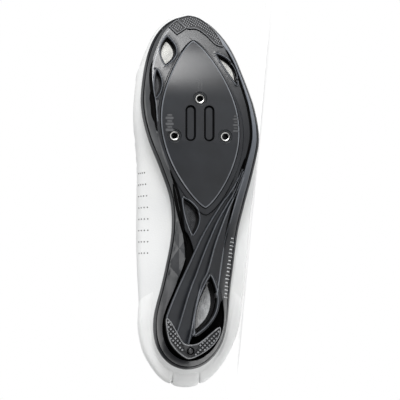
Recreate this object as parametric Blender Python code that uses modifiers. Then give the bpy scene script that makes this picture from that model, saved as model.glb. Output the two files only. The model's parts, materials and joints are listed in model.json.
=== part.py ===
"""A left cycling shoe that lies on its outer side: a stiff cupped outsole and a soft upper.

The shoe is modelled standing, in metres: +X to the toe, +Y to the outer side, the ground at Z = 0. Its
parent, an empty, then lays it down. Tables hold shares of the sizes named beside them. A station is a share
of a length.
"""

import math

import bmesh
import bpy
import numpy as np
from mathutils import Matrix, Vector
from mathutils.geometry import delaunay_2d_cdt

GAP = 0.0003

# The outsole.
SOLE_LENGTH = 0.256
SOLE_WIDTH = 0.0875
HEEL_HEIGHT = 0.025
RIM_HEIGHT = 0.006
RIM_TOP_WIDTH = 0.0015
RIM_FOOT_WIDTH = 0.0045
LIP_HEIGHT = 0.0025
PLATE_THICKNESS = 0.003
WALL_SLOPE_WIDTH = 0.0007
KNEE_SHARE = 0.62

# Ahead of its start the shoe is drawn out towards the toe, by the reach at the sole's tip.
TOE_START = 0.200
TOE_REACH = 0.0085
TOE_POWER = 1.4

# The cleat platform, its two slots and its three threaded holes.
PLATFORM_LENGTH = 0.120
PLATFORM_WIDTH = 0.057
PLATFORM_FRONT = (0.92575, 0.023)
PLATFORM_REAR_ACROSS = 0.125
PLATFORM_FLAT_REAR = 0.641
PLATFORM_FLAT_LENGTH = 0.033
PLATFORM_REAR_RISE = 0.0067
PLATFORM_FRONT_RISE = 0.0086
CLEAT_AXIS = 0.071
BOLT_REAR = 0.659
BOLT_SPACING_ALONG = 0.0277
BOLT_SPACING_ACROSS = 0.0372
BOLT_DIAMETER = 0.0043
NUT_DIAMETER = 0.007
NUT_RECESS_DIAMETER = 0.0096
NUT_RECESS_DEPTH = 0.001
SLOT_STATION = 0.696
SLOT_LENGTH = 0.026
SLOT_WIDTH = 0.007
SLOT_SPACING = 0.0136
SLOT_DEPTH = 0.0012

# The bars behind the platform, the heel window's frame, the pads and the vents.
BAR_STEP = 0.0038
FRAME_WIDTH = 0.0022
FRAME_STEP = 0.0012
HEEL_PAD_THICKNESS = 0.0031
TOE_PAD_THICKNESS = 0.0016
SCREW_DIAMETER = 0.005
SCREW_SOCKET_DIAMETER = 0.0024
SCREW_RECESS = 0.0012
SCREW_PLACE = (0.0525, -0.005)
VENT_MESH_THICKNESS = 0.001
VENT_MESH_DEPTH = 0.0005

# The upper and what goes with it.
UPPER_LENGTH = 0.271
UPPER_START = -0.0115
COLLAR_HEIGHT = 0.099
OPENING_LENGTH = 0.182
OPENING_START = -0.004
WALL = 0.002
COLLAR_WALL = 0.0055
LASTED_LIFT = 0.0004
INSOLE_THICKNESS = 0.003
TONGUE_THICKNESS = 0.003
TONGUE_START = 0.067
TONGUE_LENGTH = 0.119
TONGUE_UNDERLAP = 0.0065
TONGUE_RISE = 0.030
TONGUE_FREE_LENGTH = 0.028
TONGUE_HALF_WIDTH = 0.02275
TONGUE_ARCH = 0.65
TONGUE_ARCH_SPAN = 0.02625
TONGUE_STEEPEST = 1.05
TONGUE_WING_SLOPE = 1.3
TONGUE_TOE_ANGLE = 9
COUNTER_LENGTH = 0.070
COUNTER_THICKNESS = 0.0012
BACKSTAY_WIDTH = 0.0185
STRAP_WIDTH = 0.020
STRAP_THICKNESS = 0.0016
STRAP_GAP = 0.001

# How finely the forms are cut.
OUTLINE_POINTS = 104
RIBS = 64
HOLE_POINTS = 16
FILL_SPACING = 0.011
PATH_SPACING = 0.0055
PATH_CLEARANCE = 0.00035
SHARP_ANGLE = 35

# The face that it rests on looks outward by at least this much of a unit length.
RESTING_OUTWARD = 0.95


def table(columns, *rows):
    """Rows of shares under named columns."""
    return dict(zip(columns.split(), np.array(rows, float).T))


# Half widths of the sole's outline, as shares of SOLE_WIDTH, on a rounded ring.
OUTLINE = table(
    "station medial lateral",
    (0.00, 0.620, 0.610),
    (0.07, 0.525, 0.557),
    (0.14, 0.420, 0.483),
    (0.23, 0.277, 0.425),
    (0.30, 0.205, 0.418),
    (0.40, 0.147, 0.430),
    (0.48, 0.160, 0.475),
    (0.57, 0.253, 0.545),
    (0.66, 0.378, 0.617),
    (0.75, 0.479, 0.632),
    (0.85, 0.550, 0.623),
    (0.93, 0.620, 0.637),
    (1.00, 0.700, 0.620),
)

# Width of the sloping rim seen from below, as shares of SOLE_WIDTH.
RIM_BAND = table(
    "station medial lateral",
    (0.00, 0.071, 0.071),
    (0.07, 0.063, 0.057),
    (0.14, 0.066, 0.050),
    (0.20, 0.086, 0.080),
    (0.25, 0.108, 0.116),
    (0.33, 0.137, 0.114),
    (0.40, 0.091, 0.106),
    (0.48, 0.069, 0.103),
    (0.57, 0.066, 0.091),
    (0.66, 0.080, 0.080),
    (0.75, 0.103, 0.069),
    (0.85, 0.057, 0.057),
    (0.93, 0.057, 0.057),
    (1.00, 0.040, 0.040),
)

# Heights of the footbed, of the base below it and of the bars' crests, as shares of HEEL_HEIGHT. The rim's
# height above the footbed is a share of RIM_HEIGHT.
PROFILE = table(
    "station footbed base crest rim",
    (0.00, 1.00, 0.48, 0.12, 1.00),
    (0.10, 0.94, 0.44, 0.14, 1.00),
    (0.20, 0.90, 0.44, 0.26, 0.95),
    (0.30, 0.86, 0.48, 0.32, 0.85),
    (0.40, 0.74, 0.46, 0.29, 0.83),
    (0.50, 0.54, 0.31, 0.22, 0.80),
    (0.60, 0.39, 0.15, 0.15, 0.76),
    (0.70, 0.33, 0.10, 0.10, 0.75),
    (0.80, 0.38, 0.17, 0.10, 0.78),
    (0.90, 0.57, 0.35, 0.10, 0.82),
    (1.00, 0.87, 0.65, 0.10, 0.85),
)

# The upper's widest line: half widths as shares of SOLE_WIDTH, heights as shares of COLLAR_HEIGHT.
WIDEST = table(
    "station medial lateral medial_height lateral_height",
    (0.000, 0.720, 0.660, 0.465, 0.465),
    (0.045, 0.627, 0.627, 0.460, 0.447),
    (0.087, 0.600, 0.608, 0.455, 0.418),
    (0.130, 0.560, 0.598, 0.450, 0.388),
    (0.170, 0.525, 0.580, 0.446, 0.368),
    (0.215, 0.487, 0.565, 0.445, 0.358),
    (0.322, 0.448, 0.545, 0.455, 0.357),
    (0.386, 0.438, 0.541, 0.464, 0.362),
    (0.450, 0.430, 0.546, 0.460, 0.364),
    (0.536, 0.430, 0.578, 0.420, 0.356),
    (0.579, 0.434, 0.600, 0.395, 0.346),
    (0.622, 0.447, 0.618, 0.370, 0.335),
    (0.665, 0.473, 0.633, 0.345, 0.323),
    (0.707, 0.510, 0.649, 0.325, 0.315),
    (0.750, 0.542, 0.655, 0.315, 0.311),
    (0.793, 0.570, 0.655, 0.312, 0.311),
    (0.836, 0.600, 0.656, 0.314, 0.313),
    (0.879, 0.622, 0.658, 0.320, 0.320),
    (0.921, 0.640, 0.653, 0.328, 0.328),
    (0.954, 0.675, 0.635, 0.338, 0.338),
    (1.000, 0.700, 0.640, 0.350, 0.350),
)

# The opening's edge, collar and throat in one: half width and middle as shares of SOLE_WIDTH, height as a
# share of COLLAR_HEIGHT, and the angle at which the wall arrives there, in degrees.
OPENING = table(
    "station half_width middle height angle",
    (0.00, 0.460, 0.017, 1.000, 80),
    (0.10, 0.450, 0.020, 0.980, 80),
    (0.25, 0.420, 0.027, 0.870, 76),
    (0.40, 0.350, 0.026, 0.820, 70),
    (0.50, 0.286, 0.021, 0.845, 62),
    (0.58, 0.233, 0.018, 0.860, 52),
    (0.70, 0.194, 0.021, 0.775, 44),
    (0.85, 0.190, 0.028, 0.665, 32),
    (1.00, 0.183, 0.034, 0.585, 9),
)

# Leaf-shaped vents: two tips and the rise of each side, as shares of SOLE_LENGTH along and SOLE_WIDTH across.
VENTS = {
    "toe_medial": table("rear_along rear_across front_along front_across outer inner",
                        (0.8625, -0.210, 0.9350, -0.197, 0.078, 0.048)),
    "toe_lateral": table("rear_along rear_across front_along front_across outer inner",
                         (0.8130, 0.388, 0.8920, 0.222, 0.058, 0.004)),
    "side": table("rear_along rear_across front_along front_across outer inner",
                  (0.7730, -0.293, 0.8465, -0.287, 0.039, 0.012)),
    "arch": table("rear_along rear_across front_along front_across outer inner",
                  (0.3836, 0.025, 0.4836, -0.056, 0.086, 0.015)),
    "heel": table("rear_along rear_across front_along front_across outer inner",
                  (0.1010, 0.038, 0.2630, 0.169, 0.110, 0.037)),
}

# Lines on the sole's underside, as shares of SOLE_LENGTH along and SOLE_WIDTH across. Each bar has a steep
# face on one line and slopes away to the next.
BAR_LINES = (
    table("along across", (0.471, 0.265), (0.387, 0.117), (0.296, -0.008), (0.226, -0.103), (0.152, -0.199)),
    table("along across", (0.457, 0.282), (0.415, 0.222), (0.330, 0.117), (0.268, 0.050), (0.217, -0.008),
          (0.120, -0.097)),
    table("along across", (0.461, 0.315), (0.403, 0.259), (0.350, 0.205), (0.274, 0.143), (0.232, 0.086),
          (0.125, 0.016), (0.075, -0.019)),
    table("along across", (0.486, 0.381), (0.392, 0.315), (0.341, 0.282), (0.274, 0.254), (0.212, 0.240),
          (0.171, 0.233), (0.141, 0.236), (0.113, 0.197), (0.088, 0.097)),
)

# The deep recess round the heel, as an outline on the sole's underside.
MOAT = table(
    "along across",
    (0.391, -0.040), (0.328, 0.030), (0.258, 0.010), (0.172, -0.034), (0.094, -0.023), (0.066, 0.034),
    (0.086, 0.149), (0.125, 0.251), (0.168, 0.243), (0.191, 0.286), (0.156, 0.389), (0.039, 0.389),
    (-0.020, 0.000), (0.039, -0.389), (0.156, -0.366), (0.234, -0.297), (0.313, -0.206), (0.359, -0.114),
)

HEEL_PAD = table(
    "along across",
    (0.143, -0.203), (0.111, -0.199), (0.079, -0.174), (0.054, -0.121), (0.036, -0.056), (0.031, -0.008),
    (0.040, 0.063), (0.058, 0.146), (0.081, 0.210), (0.104, 0.240), (0.119, 0.229), (0.093, 0.133),
    (0.075, 0.063), (0.070, -0.008), (0.075, -0.062), (0.097, -0.103), (0.132, -0.162),
)

TOE_PAD_MEDIAL = table(
    "along across",
    (0.963, -0.179), (0.981, -0.115), (0.960, -0.032), (0.943, -0.112),
)

TOE_PAD_LATERAL = table(
    "along across",
    (0.982, -0.103), (0.991, -0.049), (0.993, 0.009), (0.986, 0.086), (0.969, 0.163), (0.948, 0.223),
    (0.920, 0.275), (0.913, 0.270), (0.918, 0.216), (0.930, 0.175), (0.946, 0.122), (0.959, 0.050),
    (0.960, -0.025),
)

# Straps across the throat: station as a share of SOLE_LENGTH, the levels of both ends on the upper, and how
# far the outer end lies ahead, as a share of STRAP_WIDTH.
STRAPS = table(
    "station medial_end lateral_end slant",
    (0.640, 2.12, 2.50, 0.10),
    (0.530, 2.15, 2.52, 0.15),
    (0.430, 2.18, 2.50, 0.30),
)
STRAP_NAMES = ("strap_front", "strap_middle", "strap_top")


def read(rows, column, station):
    """A column's value at a station, on a smooth curve through the rows."""
    stations = rows["station"]
    values = rows[column]
    slopes = np.gradient(values, stations)
    station = np.clip(station, stations[0], stations[-1])
    row = np.clip(np.searchsorted(stations, station, side="right") - 1, 0, len(stations) - 2)
    step = stations[row + 1] - stations[row]
    share = (station - stations[row]) / step
    ease = share * share * (3 - 2 * share)
    leaving = share * (1 - share) ** 2
    arriving = share * share * (share - 1)
    level = values[row] + ease * (values[row + 1] - values[row])
    return level + step * (leaving * slopes[row] + arriving * slopes[row + 1])


def read_side(rows, ending, angle, station):
    """The medial or lateral column's value, by the side that the ring's angle is on."""
    medial = read(rows, "medial" + ending, station)
    lateral = read(rows, "lateral" + ending, station)
    return np.where(np.sin(angle) >= 0, lateral, medial)


def ring_station(angle):
    """Angle 0 is the back of the heel and pi the tip of the toe. The outer side lies between them."""
    return (1 - np.cos(angle)) / 2


def path_of(rows):
    """A table's points in plan, in metres."""
    return np.column_stack([rows["along"] * SOLE_LENGTH, rows["across"] * SOLE_WIDTH])


def footbed(x):
    return HEEL_HEIGHT * read(PROFILE, "footbed", x / SOLE_LENGTH)


def rim_top(x):
    return footbed(x) + RIM_HEIGHT * read(PROFILE, "rim", x / SOLE_LENGTH)


def sole_outline(count=OUTLINE_POINTS):
    angle = np.linspace(0, 2 * math.pi, count, endpoint=False)
    station = ring_station(angle)
    across = np.sin(angle) * SOLE_WIDTH * read_side(OUTLINE, "", angle, station)
    return np.column_stack([SOLE_LENGTH * station, across])


def inset(loop, distance):
    """A closed loop moved inward by a distance, or outward by a negative one."""
    ahead = np.roll(loop, -1, axis=0)
    area = np.sum(loop[:, 0] * ahead[:, 1] - ahead[:, 0] * loop[:, 1])
    tangent = ahead - np.roll(loop, 1, axis=0)
    tangent /= np.linalg.norm(tangent, axis=1)[:, None]
    inward = np.column_stack([-tangent[:, 1], tangent[:, 0]]) * np.sign(area)
    return loop + inward * np.reshape(distance, (-1, 1))


def depth_inside(points, loop):
    """Each point's distance to a closed loop, positive inside it."""
    edge = np.roll(loop, -1, axis=0) - loop
    offset = points[:, None, :] - loop[None]
    share = np.clip((offset * edge).sum(-1) / (edge**2).sum(-1), 0, 1)
    distance = np.linalg.norm(offset - share[..., None] * edge, axis=-1).min(axis=1)
    above = offset[..., 1] < 0
    crosses = above != np.roll(above, -1, axis=1)
    rise = np.where(edge[:, 1] == 0, 1, edge[:, 1])
    left_of = offset[..., 0] < offset[..., 1] * edge[:, 0] / rise
    inside = (crosses & left_of).sum(axis=1) % 2 == 1
    return np.where(inside, distance, -distance)


def circle(centre, diameter, count=HOLE_POINTS):
    angle = np.linspace(0, 2 * math.pi, count, endpoint=False)
    return np.asarray(centre) + diameter / 2 * np.column_stack([np.cos(angle), np.sin(angle)])


def slot_loop(centre, length, width, count=7):
    """A slot with round ends, long in X."""
    angle = np.linspace(-math.pi / 2, math.pi / 2, count)
    end = width / 2 * np.column_stack([np.cos(angle), np.sin(angle)]) + ((length - width) / 2, 0)
    return np.asarray(centre) + np.concatenate([end, -end])


def leaf_loop(rows, count=8):
    """A vent's pointed outline: two bowed sides between its tips."""
    rear = np.array([rows["rear_along"][0] * SOLE_LENGTH, rows["rear_across"][0] * SOLE_WIDTH])
    front = np.array([rows["front_along"][0] * SOLE_LENGTH, rows["front_across"][0] * SOLE_WIDTH])
    share = np.linspace(0, 1, count)[:, None]
    bow = 4 * share * (1 - share) * SOLE_WIDTH
    axis = (front - rear) / np.linalg.norm(front - rear)
    sideways = np.array([-axis[1], axis[0]])
    chord = rear + share * (front - rear)
    outer = chord + bow * rows["outer"] * sideways
    inner = chord - bow * rows["inner"] * sideways
    return np.concatenate([inner[:-1], outer[:0:-1]])


def platform_loop(count=22):
    """The cleat platform's lens-shaped outline."""
    front = np.array([PLATFORM_FRONT[0] * SOLE_LENGTH, PLATFORM_FRONT[1] * SOLE_WIDTH])
    rear = np.array([front[0] - PLATFORM_LENGTH, PLATFORM_REAR_ACROSS * SOLE_WIDTH])
    share = ring_station(np.linspace(0, math.pi, count))[:, None]
    middle = rear + share * (front - rear)
    half = np.column_stack([np.zeros(count), PLATFORM_WIDTH / 2 * np.sin(math.pi * share) ** 0.75])
    return np.concatenate([(middle - half)[:-1], (middle + half)[:0:-1]])


def platform_height(x):
    """Flat under the ball of the foot, sloping up behind it and curving up to the toe."""
    flat_rear = PLATFORM_FLAT_REAR * SOLE_LENGTH
    flat_front = flat_rear + PLATFORM_FLAT_LENGTH
    front = PLATFORM_FRONT[0] * SOLE_LENGTH
    rear = front - PLATFORM_LENGTH
    behind = np.clip((flat_rear - x) / (flat_rear - rear), 0, None)
    ahead = np.clip((x - flat_front) / (front - flat_front), 0, None)
    return PLATFORM_REAR_RISE * behind + PLATFORM_FRONT_RISE * ahead**2


def bolt_places():
    """Centres of the three threaded holes, in plan."""
    rear = BOLT_REAR * SOLE_LENGTH
    axis = CLEAT_AXIS * SOLE_WIDTH
    return {
        "front": (rear + BOLT_SPACING_ALONG, axis),
        "medial": (rear, axis - BOLT_SPACING_ACROSS / 2),
        "lateral": (rear, axis + BOLT_SPACING_ACROSS / 2),
    }


def slot_loops():
    axis = CLEAT_AXIS * SOLE_WIDTH
    centres = [(SLOT_STATION * SOLE_LENGTH, axis + side * SLOT_SPACING / 2) for side in (-1, 1)]
    return [slot_loop(centre, SLOT_LENGTH, SLOT_WIDTH) for centre in centres]


def stepped(height, new, points, loop):
    """The height changed to a new one inside a loop, with a thin sloping wall round it."""
    share = np.clip(1 + depth_inside(points, loop) / WALL_SLOPE_WIDTH, 0, 1)
    return height + share * (new - height)


def bar_loops():
    """The outlines of the bars: each lies between one line and the next."""
    lines = [path_of(rows) for rows in BAR_LINES]
    return [np.concatenate([first, second[::-1]]) for first, second in zip(lines, lines[1:])]


def bar_height(points, first, second):
    """From the crest on the first line, down by a step to the second."""
    x = points[:, 0]
    near, far = (np.interp(x, line[::-1, 0], line[::-1, 1]) for line in map(path_of, (first, second)))
    share = np.clip((points[:, 1] - near) / np.maximum(far - near, GAP), 0, 1)
    return HEEL_HEIGHT * read(PROFILE, "crest", x / SOLE_LENGTH) + BAR_STEP * share


def rim_inner_loop(outline):
    """Where the sloping rim meets the base, seen from below."""
    station = outline[:, 0] / SOLE_LENGTH
    angle = np.where(outline[:, 1] >= 0, math.pi / 2, -math.pi / 2)
    return inset(outline, SOLE_WIDTH * read_side(RIM_BAND, "", angle, station))


def rim_height(points, base, outline, inner):
    """The rim's lower face: a gentle slope up from the base, then a steep one to the lip."""
    to_edge = np.maximum(depth_inside(points, outline), 0)
    to_base = np.maximum(-depth_inside(points, inner), 0)
    share = to_base / np.maximum(to_base + to_edge, 1e-9)
    knee = footbed(points[:, 0]) - PLATE_THICKNESS * 0.75
    lip = rim_top(points[:, 0]) - LIP_HEIGHT
    gentle = base + (knee - base) * (np.clip(share / KNEE_SHARE, 0, 1)) ** 1.3
    steep = knee + (lip - knee) * np.clip((share - KNEE_SHARE) / (1 - KNEE_SHARE), 0, 1)
    return np.where(share < KNEE_SHARE, gentle, steep)


def sole_underside(points):
    """Height of the outsole's lower face."""
    outline = sole_outline()
    inner = rim_inner_loop(outline)
    x = points[:, 0]
    bed = footbed(x)
    base = HEEL_HEIGHT * read(PROFILE, "base", x / SOLE_LENGTH)
    height = stepped(base, bed - PLATE_THICKNESS, points, path_of(MOAT))
    for loop, first, second in zip(bar_loops(), BAR_LINES, BAR_LINES[1:]):
        height = stepped(height, bar_height(points, first, second), points, loop)
    rim = np.clip(1 - depth_inside(points, inner) / WALL_SLOPE_WIDTH, 0, 1)
    height = height + rim * (rim_height(points, base, outline, inner) - height)
    frame = inset(leaf_loop(VENTS["heel"]), -FRAME_WIDTH)
    crest = HEEL_HEIGHT * read(PROFILE, "crest", x / SOLE_LENGTH)
    height = stepped(height, crest + FRAME_STEP, points, frame)
    height = stepped(height, HEEL_PAD_THICKNESS + GAP, points, path_of(HEEL_PAD))
    height = stepped(height, platform_height(x), points, platform_loop())
    for loop in slot_loops():
        height = stepped(height, platform_height(x) + SLOT_DEPTH, points, loop)
    for place in bolt_places().values():
        recess = circle(place, NUT_RECESS_DIAMETER)
        height = stepped(height, platform_height(x) + NUT_RECESS_DEPTH, points, recess)
    return height


def sole_top(points):
    """Height of the outsole's upper face: the footbed in its cupped rim."""
    depth = depth_inside(points, sole_outline())
    share = np.clip((depth - RIM_TOP_WIDTH) / (RIM_FOOT_WIDTH - RIM_TOP_WIDTH), 0, 1)
    bed = footbed(points[:, 0])
    return rim_top(points[:, 0]) * (1 - share) + bed * share


def closed_path(loop):
    return np.concatenate([loop, loop[:1]])


def walled(loop):
    """A loop's edge and the foot of the sloping wall round it, as paths."""
    return [closed_path(loop), closed_path(inset(loop, -WALL_SLOPE_WIDTH))]


def sole_under_paths(outline):
    """The lines along which the underside bends."""
    inner = rim_inner_loop(outline)
    knee = outline + (1 - KNEE_SHARE) * (inner - outline)
    paths = [closed_path(knee), closed_path(inner), closed_path(inset(inner, WALL_SLOPE_WIDTH))]
    loops = [path_of(MOAT), *bar_loops(), inset(leaf_loop(VENTS["heel"]), -FRAME_WIDTH), path_of(HEEL_PAD)]
    loops += [platform_loop(), *slot_loops()]
    loops += [circle(place, NUT_RECESS_DIAMETER) for place in bolt_places().values()]
    for loop in loops:
        paths += walled(loop)
    half_width = PLATFORM_WIDTH / 2
    for station in (PLATFORM_FLAT_REAR, PLATFORM_FLAT_REAR + PLATFORM_FLAT_LENGTH / SOLE_LENGTH):
        x = station * SOLE_LENGTH
        paths.append(np.array([(x, -half_width), (x, half_width)]))
    return paths


def sampled(path, spacing=PATH_SPACING):
    """A path with points added so that none lie further apart than the spacing."""
    pieces = []
    for start, end in zip(path[:-1], path[1:]):
        count = max(1, math.ceil(np.linalg.norm(end - start) / spacing))
        pieces.append(start + (end - start) * np.arange(count)[:, None] / count)
    return np.concatenate([*pieces, path[-1:]])


def clear_of(points, loops, margin):
    """Which points lie inside the first loop and outside the others, by at least a margin."""
    clear = depth_inside(points, loops[0]) > margin
    for loop in loops[1:]:
        clear &= depth_inside(points, loop) < -margin
    return clear


def fill_points(loops, taken):
    """A loose triangular grid of points, away from all others."""
    low = loops[0].min(axis=0)
    high = loops[0].max(axis=0)
    rows = np.arange(low[1], high[1], FILL_SPACING * 0.866)
    grid = [
        (x + (row % 2) * FILL_SPACING / 2, y)
        for row, y in enumerate(rows)
        for x in np.arange(low[0], high[0], FILL_SPACING)
    ]
    grid = np.array(grid)
    near = np.linalg.norm(grid[:, None] - taken[None], axis=-1).min(axis=1)
    return grid[clear_of(grid, loops, FILL_SPACING * 0.4) & (near > FILL_SPACING * 0.5)]


def triangulated(loops, paths, filled):
    """Points and triangles of the area inside the first loop and outside the others, bent along the paths."""
    chunks = []
    edges = []
    count = 0
    for loop in loops:
        size = len(loop)
        edges += [(count + i, count + (i + 1) % size) for i in range(size)]
        chunks.append(loop)
        count += size
    for path in paths:
        points = sampled(path)
        keep = clear_of(points, loops, PATH_CLEARANCE)
        edges += [(count + i, count + i + 1) for i in range(len(points) - 1) if keep[i] and keep[i + 1]]
        points[~keep] = loops[0][0]
        chunks.append(points)
        count += len(points)
    if filled:
        chunks.append(fill_points(loops, np.concatenate(chunks)))
    points = [Vector(point) for point in np.concatenate(chunks)]
    found, _, faces, _, _, _ = delaunay_2d_cdt(points, edges, [], 0, 1e-6)
    found = np.array([tuple(point) for point in found])
    faces = np.array([face for face in faces if len(face) == 3])
    inside = clear_of(found[faces].mean(axis=1), loops, 0)
    return found, faces[inside]


def relief_solid(name, material, loops, lower, upper, lower_paths=(), upper_paths=(), filled=False):
    """A solid between two heights over an outline with holes. Both faces share the same borders."""
    low_points, low_faces = triangulated(loops, lower_paths, filled)
    top_points, top_faces = triangulated(loops, upper_paths, filled)
    mesh = bmesh.new()
    low = [mesh.verts.new((*point, z)) for point, z in zip(low_points, lower(low_points))]
    top = [mesh.verts.new((*point, z)) for point, z in zip(top_points, upper(top_points))]
    at_place = {tuple(np.round(point, 6)): vertex for point, vertex in zip(top_points, top)}
    for face in low_faces:
        mesh.faces.new([low[i] for i in reversed(face)])
    for face in top_faces:
        mesh.faces.new([top[i] for i in face])
    above = {vertex: at_place.get(tuple(np.round(point, 6))) for point, vertex in zip(low_points, low)}
    borders = [edge for edge in mesh.edges if len(edge.link_faces) == 1 and edge.verts[0] in above]
    for edge in borders:
        loop = edge.link_loops[0]
        start = loop.vert
        end = loop.link_loop_next.vert
        mesh.faces.new([end, start, above[start], above[end]])
    bmesh.ops.delete(mesh, geom=[v for v in mesh.verts if not v.link_faces], context="VERTS")
    bmesh.ops.recalc_face_normals(mesh, faces=mesh.faces)
    return add_object(name, mesh, material)


def drawn_out(x):
    """A place along the shoe, moved forward where the toe is drawn out."""
    ahead = np.clip((x - TOE_START) / (SOLE_LENGTH - TOE_START), 0, None)
    return x + TOE_REACH * ahead**TOE_POWER


def add_object(name, mesh, material):
    """A named object from a finished mesh, shaded smooth between its sharp edges."""
    for vertex in mesh.verts:
        vertex.co.x = drawn_out(vertex.co.x)
    data = bpy.data.meshes.new(name)
    mesh.to_mesh(data)
    mesh.free()
    data.materials.append(material)
    data.shade_smooth()
    data.set_sharp_from_angle(angle=math.radians(SHARP_ANGLE))
    piece = bpy.data.objects.new(name, data)
    bpy.data.collections["cycling_shoe"].objects.link(piece)
    piece.parent = bpy.data.objects["lying_pose"]
    return piece


def sheet(name, material, grid, closed, thickness, outward):
    """An open surface through a grid of points, given a wall by Solidify."""
    mesh = bmesh.new()
    verts = [[mesh.verts.new(point) for point in line] for line in grid]
    lines = list(zip(verts, verts[1:]))
    if closed:
        lines.append((verts[-1], verts[0]))
    for first, second in lines:
        for i in range(len(first) - 1):
            mesh.faces.new([first[i], first[i + 1], second[i + 1], second[i]])
    piece = add_object(name, mesh, material)
    wall = piece.modifiers.new("wall", "SOLIDIFY")
    wall.thickness = thickness
    wall.offset = 1 if outward else -1
    return piece


def make_material(name, colour, roughness, metallic=0.0):
    material = bpy.data.materials.new(name)
    material.use_nodes = True
    shader = material.node_tree.nodes["Principled BSDF"]
    shader.inputs["Base Color"].default_value = (*colour, 1)
    shader.inputs["Roughness"].default_value = roughness
    shader.inputs["Metallic"].default_value = metallic
    return material


def curve_point(start, leaving, arriving, end, share):
    """A point on a cubic curve with two handles."""
    rest = 1 - share
    near = rest**3 * start + 3 * rest**2 * share * leaving
    return near + 3 * rest * share**2 * arriving + share**3 * end


def opening_edge(angle):
    station = ring_station(angle)
    half = np.sin(angle) * SOLE_WIDTH * read(OPENING, "half_width", station)
    return np.stack(
        [
            OPENING_START + OPENING_LENGTH * station,
            half + SOLE_WIDTH * read(OPENING, "middle", station),
            COLLAR_HEIGHT * read(OPENING, "height", station),
        ],
        axis=-1,
    )


def widest_line(angle):
    station = ring_station(angle)
    return np.stack(
        [
            UPPER_START + UPPER_LENGTH * station,
            np.sin(angle) * SOLE_WIDTH * read_side(WIDEST, "", angle, station),
            COLLAR_HEIGHT * read_side(WIDEST, "_height", angle, station),
        ],
        axis=-1,
    )


def sole_ring(angle, distance):
    """Points inside the sole's outline by a distance, in plan."""
    step = 1e-3
    station = ring_station(angle)
    across = np.sin(angle) * SOLE_WIDTH * read_side(OUTLINE, "", angle, station)
    ahead = ring_station(angle + step)
    across_ahead = np.sin(angle + step) * SOLE_WIDTH * read_side(OUTLINE, "", angle + step, ahead)
    tangent = np.stack([(ahead - station) * SOLE_LENGTH, across_ahead - across], axis=-1)
    tangent /= np.linalg.norm(tangent, axis=-1, keepdims=True)
    x = station * SOLE_LENGTH + tangent[..., 1] * distance
    return x, across - tangent[..., 0] * distance


def upper_point(angle, level):
    """A point on the upper's outer face. Level 0 is its lasted edge, 1 the rim's top, 2 its widest line and 3
    the edge of the opening."""
    angle, level = np.broadcast_arrays(np.asarray(angle, float), np.asarray(level, float))
    x, y = sole_ring(angle, RIM_FOOT_WIDTH + GAP)
    lasted = np.stack([x, y, footbed(x) + LASTED_LIFT], axis=-1)
    x, y = sole_ring(angle, RIM_TOP_WIDTH + 2 * GAP)
    rim = np.stack([x, y, rim_top(x) + 2 * GAP], axis=-1)
    widest = widest_line(angle)
    edge = opening_edge(angle)
    up = np.array([0, 0, 1.0])
    to_widest = widest - rim
    reach = np.linalg.norm(to_widest, axis=-1, keepdims=True)
    rise = edge[..., 2:] - widest[..., 2:]
    inward = (edge - widest) * (1, 1, 0)
    inward /= np.linalg.norm(inward, axis=-1, keepdims=True)
    arrival = np.radians(read(OPENING, "angle", ring_station(angle)))[..., None]
    arriving = inward * np.cos(arrival) + up * np.sin(arrival)
    length = 0.4 * np.linalg.norm(edge - widest, axis=-1, keepdims=True)
    share = level[..., None]
    low = lasted + (rim - lasted) * share
    middle = curve_point(
        rim, rim + 0.25 * to_widest + 0.15 * reach * up, widest - 0.4 * reach * up, widest, share - 1
    )
    high = curve_point(widest, widest + 0.6 * rise * up, edge - length * arriving, edge, share - 2)
    return np.where(share < 1, low, np.where(share < 2, middle, high))


def upper_normal(angle, level):
    """The outward direction of the upper's outer face."""
    step = 1e-3
    level = np.clip(level, step, 3 - step)
    along = upper_point(angle + step, level) - upper_point(angle - step, level)
    upward = upper_point(angle, level + step) - upper_point(angle, level - step)
    normal = np.cross(upward, along)
    return normal / np.linalg.norm(normal, axis=-1, keepdims=True)


def above_upper(angle, level, distance):
    return upper_point(angle, level) + distance * upper_normal(angle, level)


def angle_at(level, target, axis):
    """The ring angle, on the outer side, at which the upper reaches a distance along X or across it."""
    angles = np.linspace(0, math.pi if axis == 0 else math.pi / 4, 400)
    return np.interp(target, upper_point(angles, level)[:, axis], angles)


def add_outsole(material):
    outline = sole_outline()
    holes = [leaf_loop(rows) for rows in VENTS.values()]
    holes += [circle(place, NUT_DIAMETER + 2 * GAP) for place in bolt_places().values()]
    top_paths = [closed_path(inset(outline, width)) for width in (RIM_TOP_WIDTH, RIM_FOOT_WIDTH)]
    relief_solid("outsole", material, [outline, *holes], sole_underside, sole_top,
                 sole_under_paths(outline), top_paths, filled=True)


def add_pads(material):
    """The rubber treads at the toe and the heel, and the screw that holds the heel's."""
    def base(points):
        return HEEL_HEIGHT * read(PROFILE, "base", points[:, 0] / SOLE_LENGTH)

    for name, rows in (("toe_pad_medial", TOE_PAD_MEDIAL), ("toe_pad_lateral", TOE_PAD_LATERAL)):
        relief_solid(name, material, [path_of(rows)], lambda p: base(p) - GAP - TOE_PAD_THICKNESS,
                     lambda p: base(p) - GAP)
    place = (SCREW_PLACE[0] * SOLE_LENGTH, SCREW_PLACE[1] * SOLE_WIDTH)
    hole = circle(place, SCREW_DIAMETER + 2 * GAP)
    relief_solid("heel_pad", material, [path_of(HEEL_PAD), hole], lambda p: np.zeros(len(p)),
                 lambda p: np.full(len(p), HEEL_PAD_THICKNESS))


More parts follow.
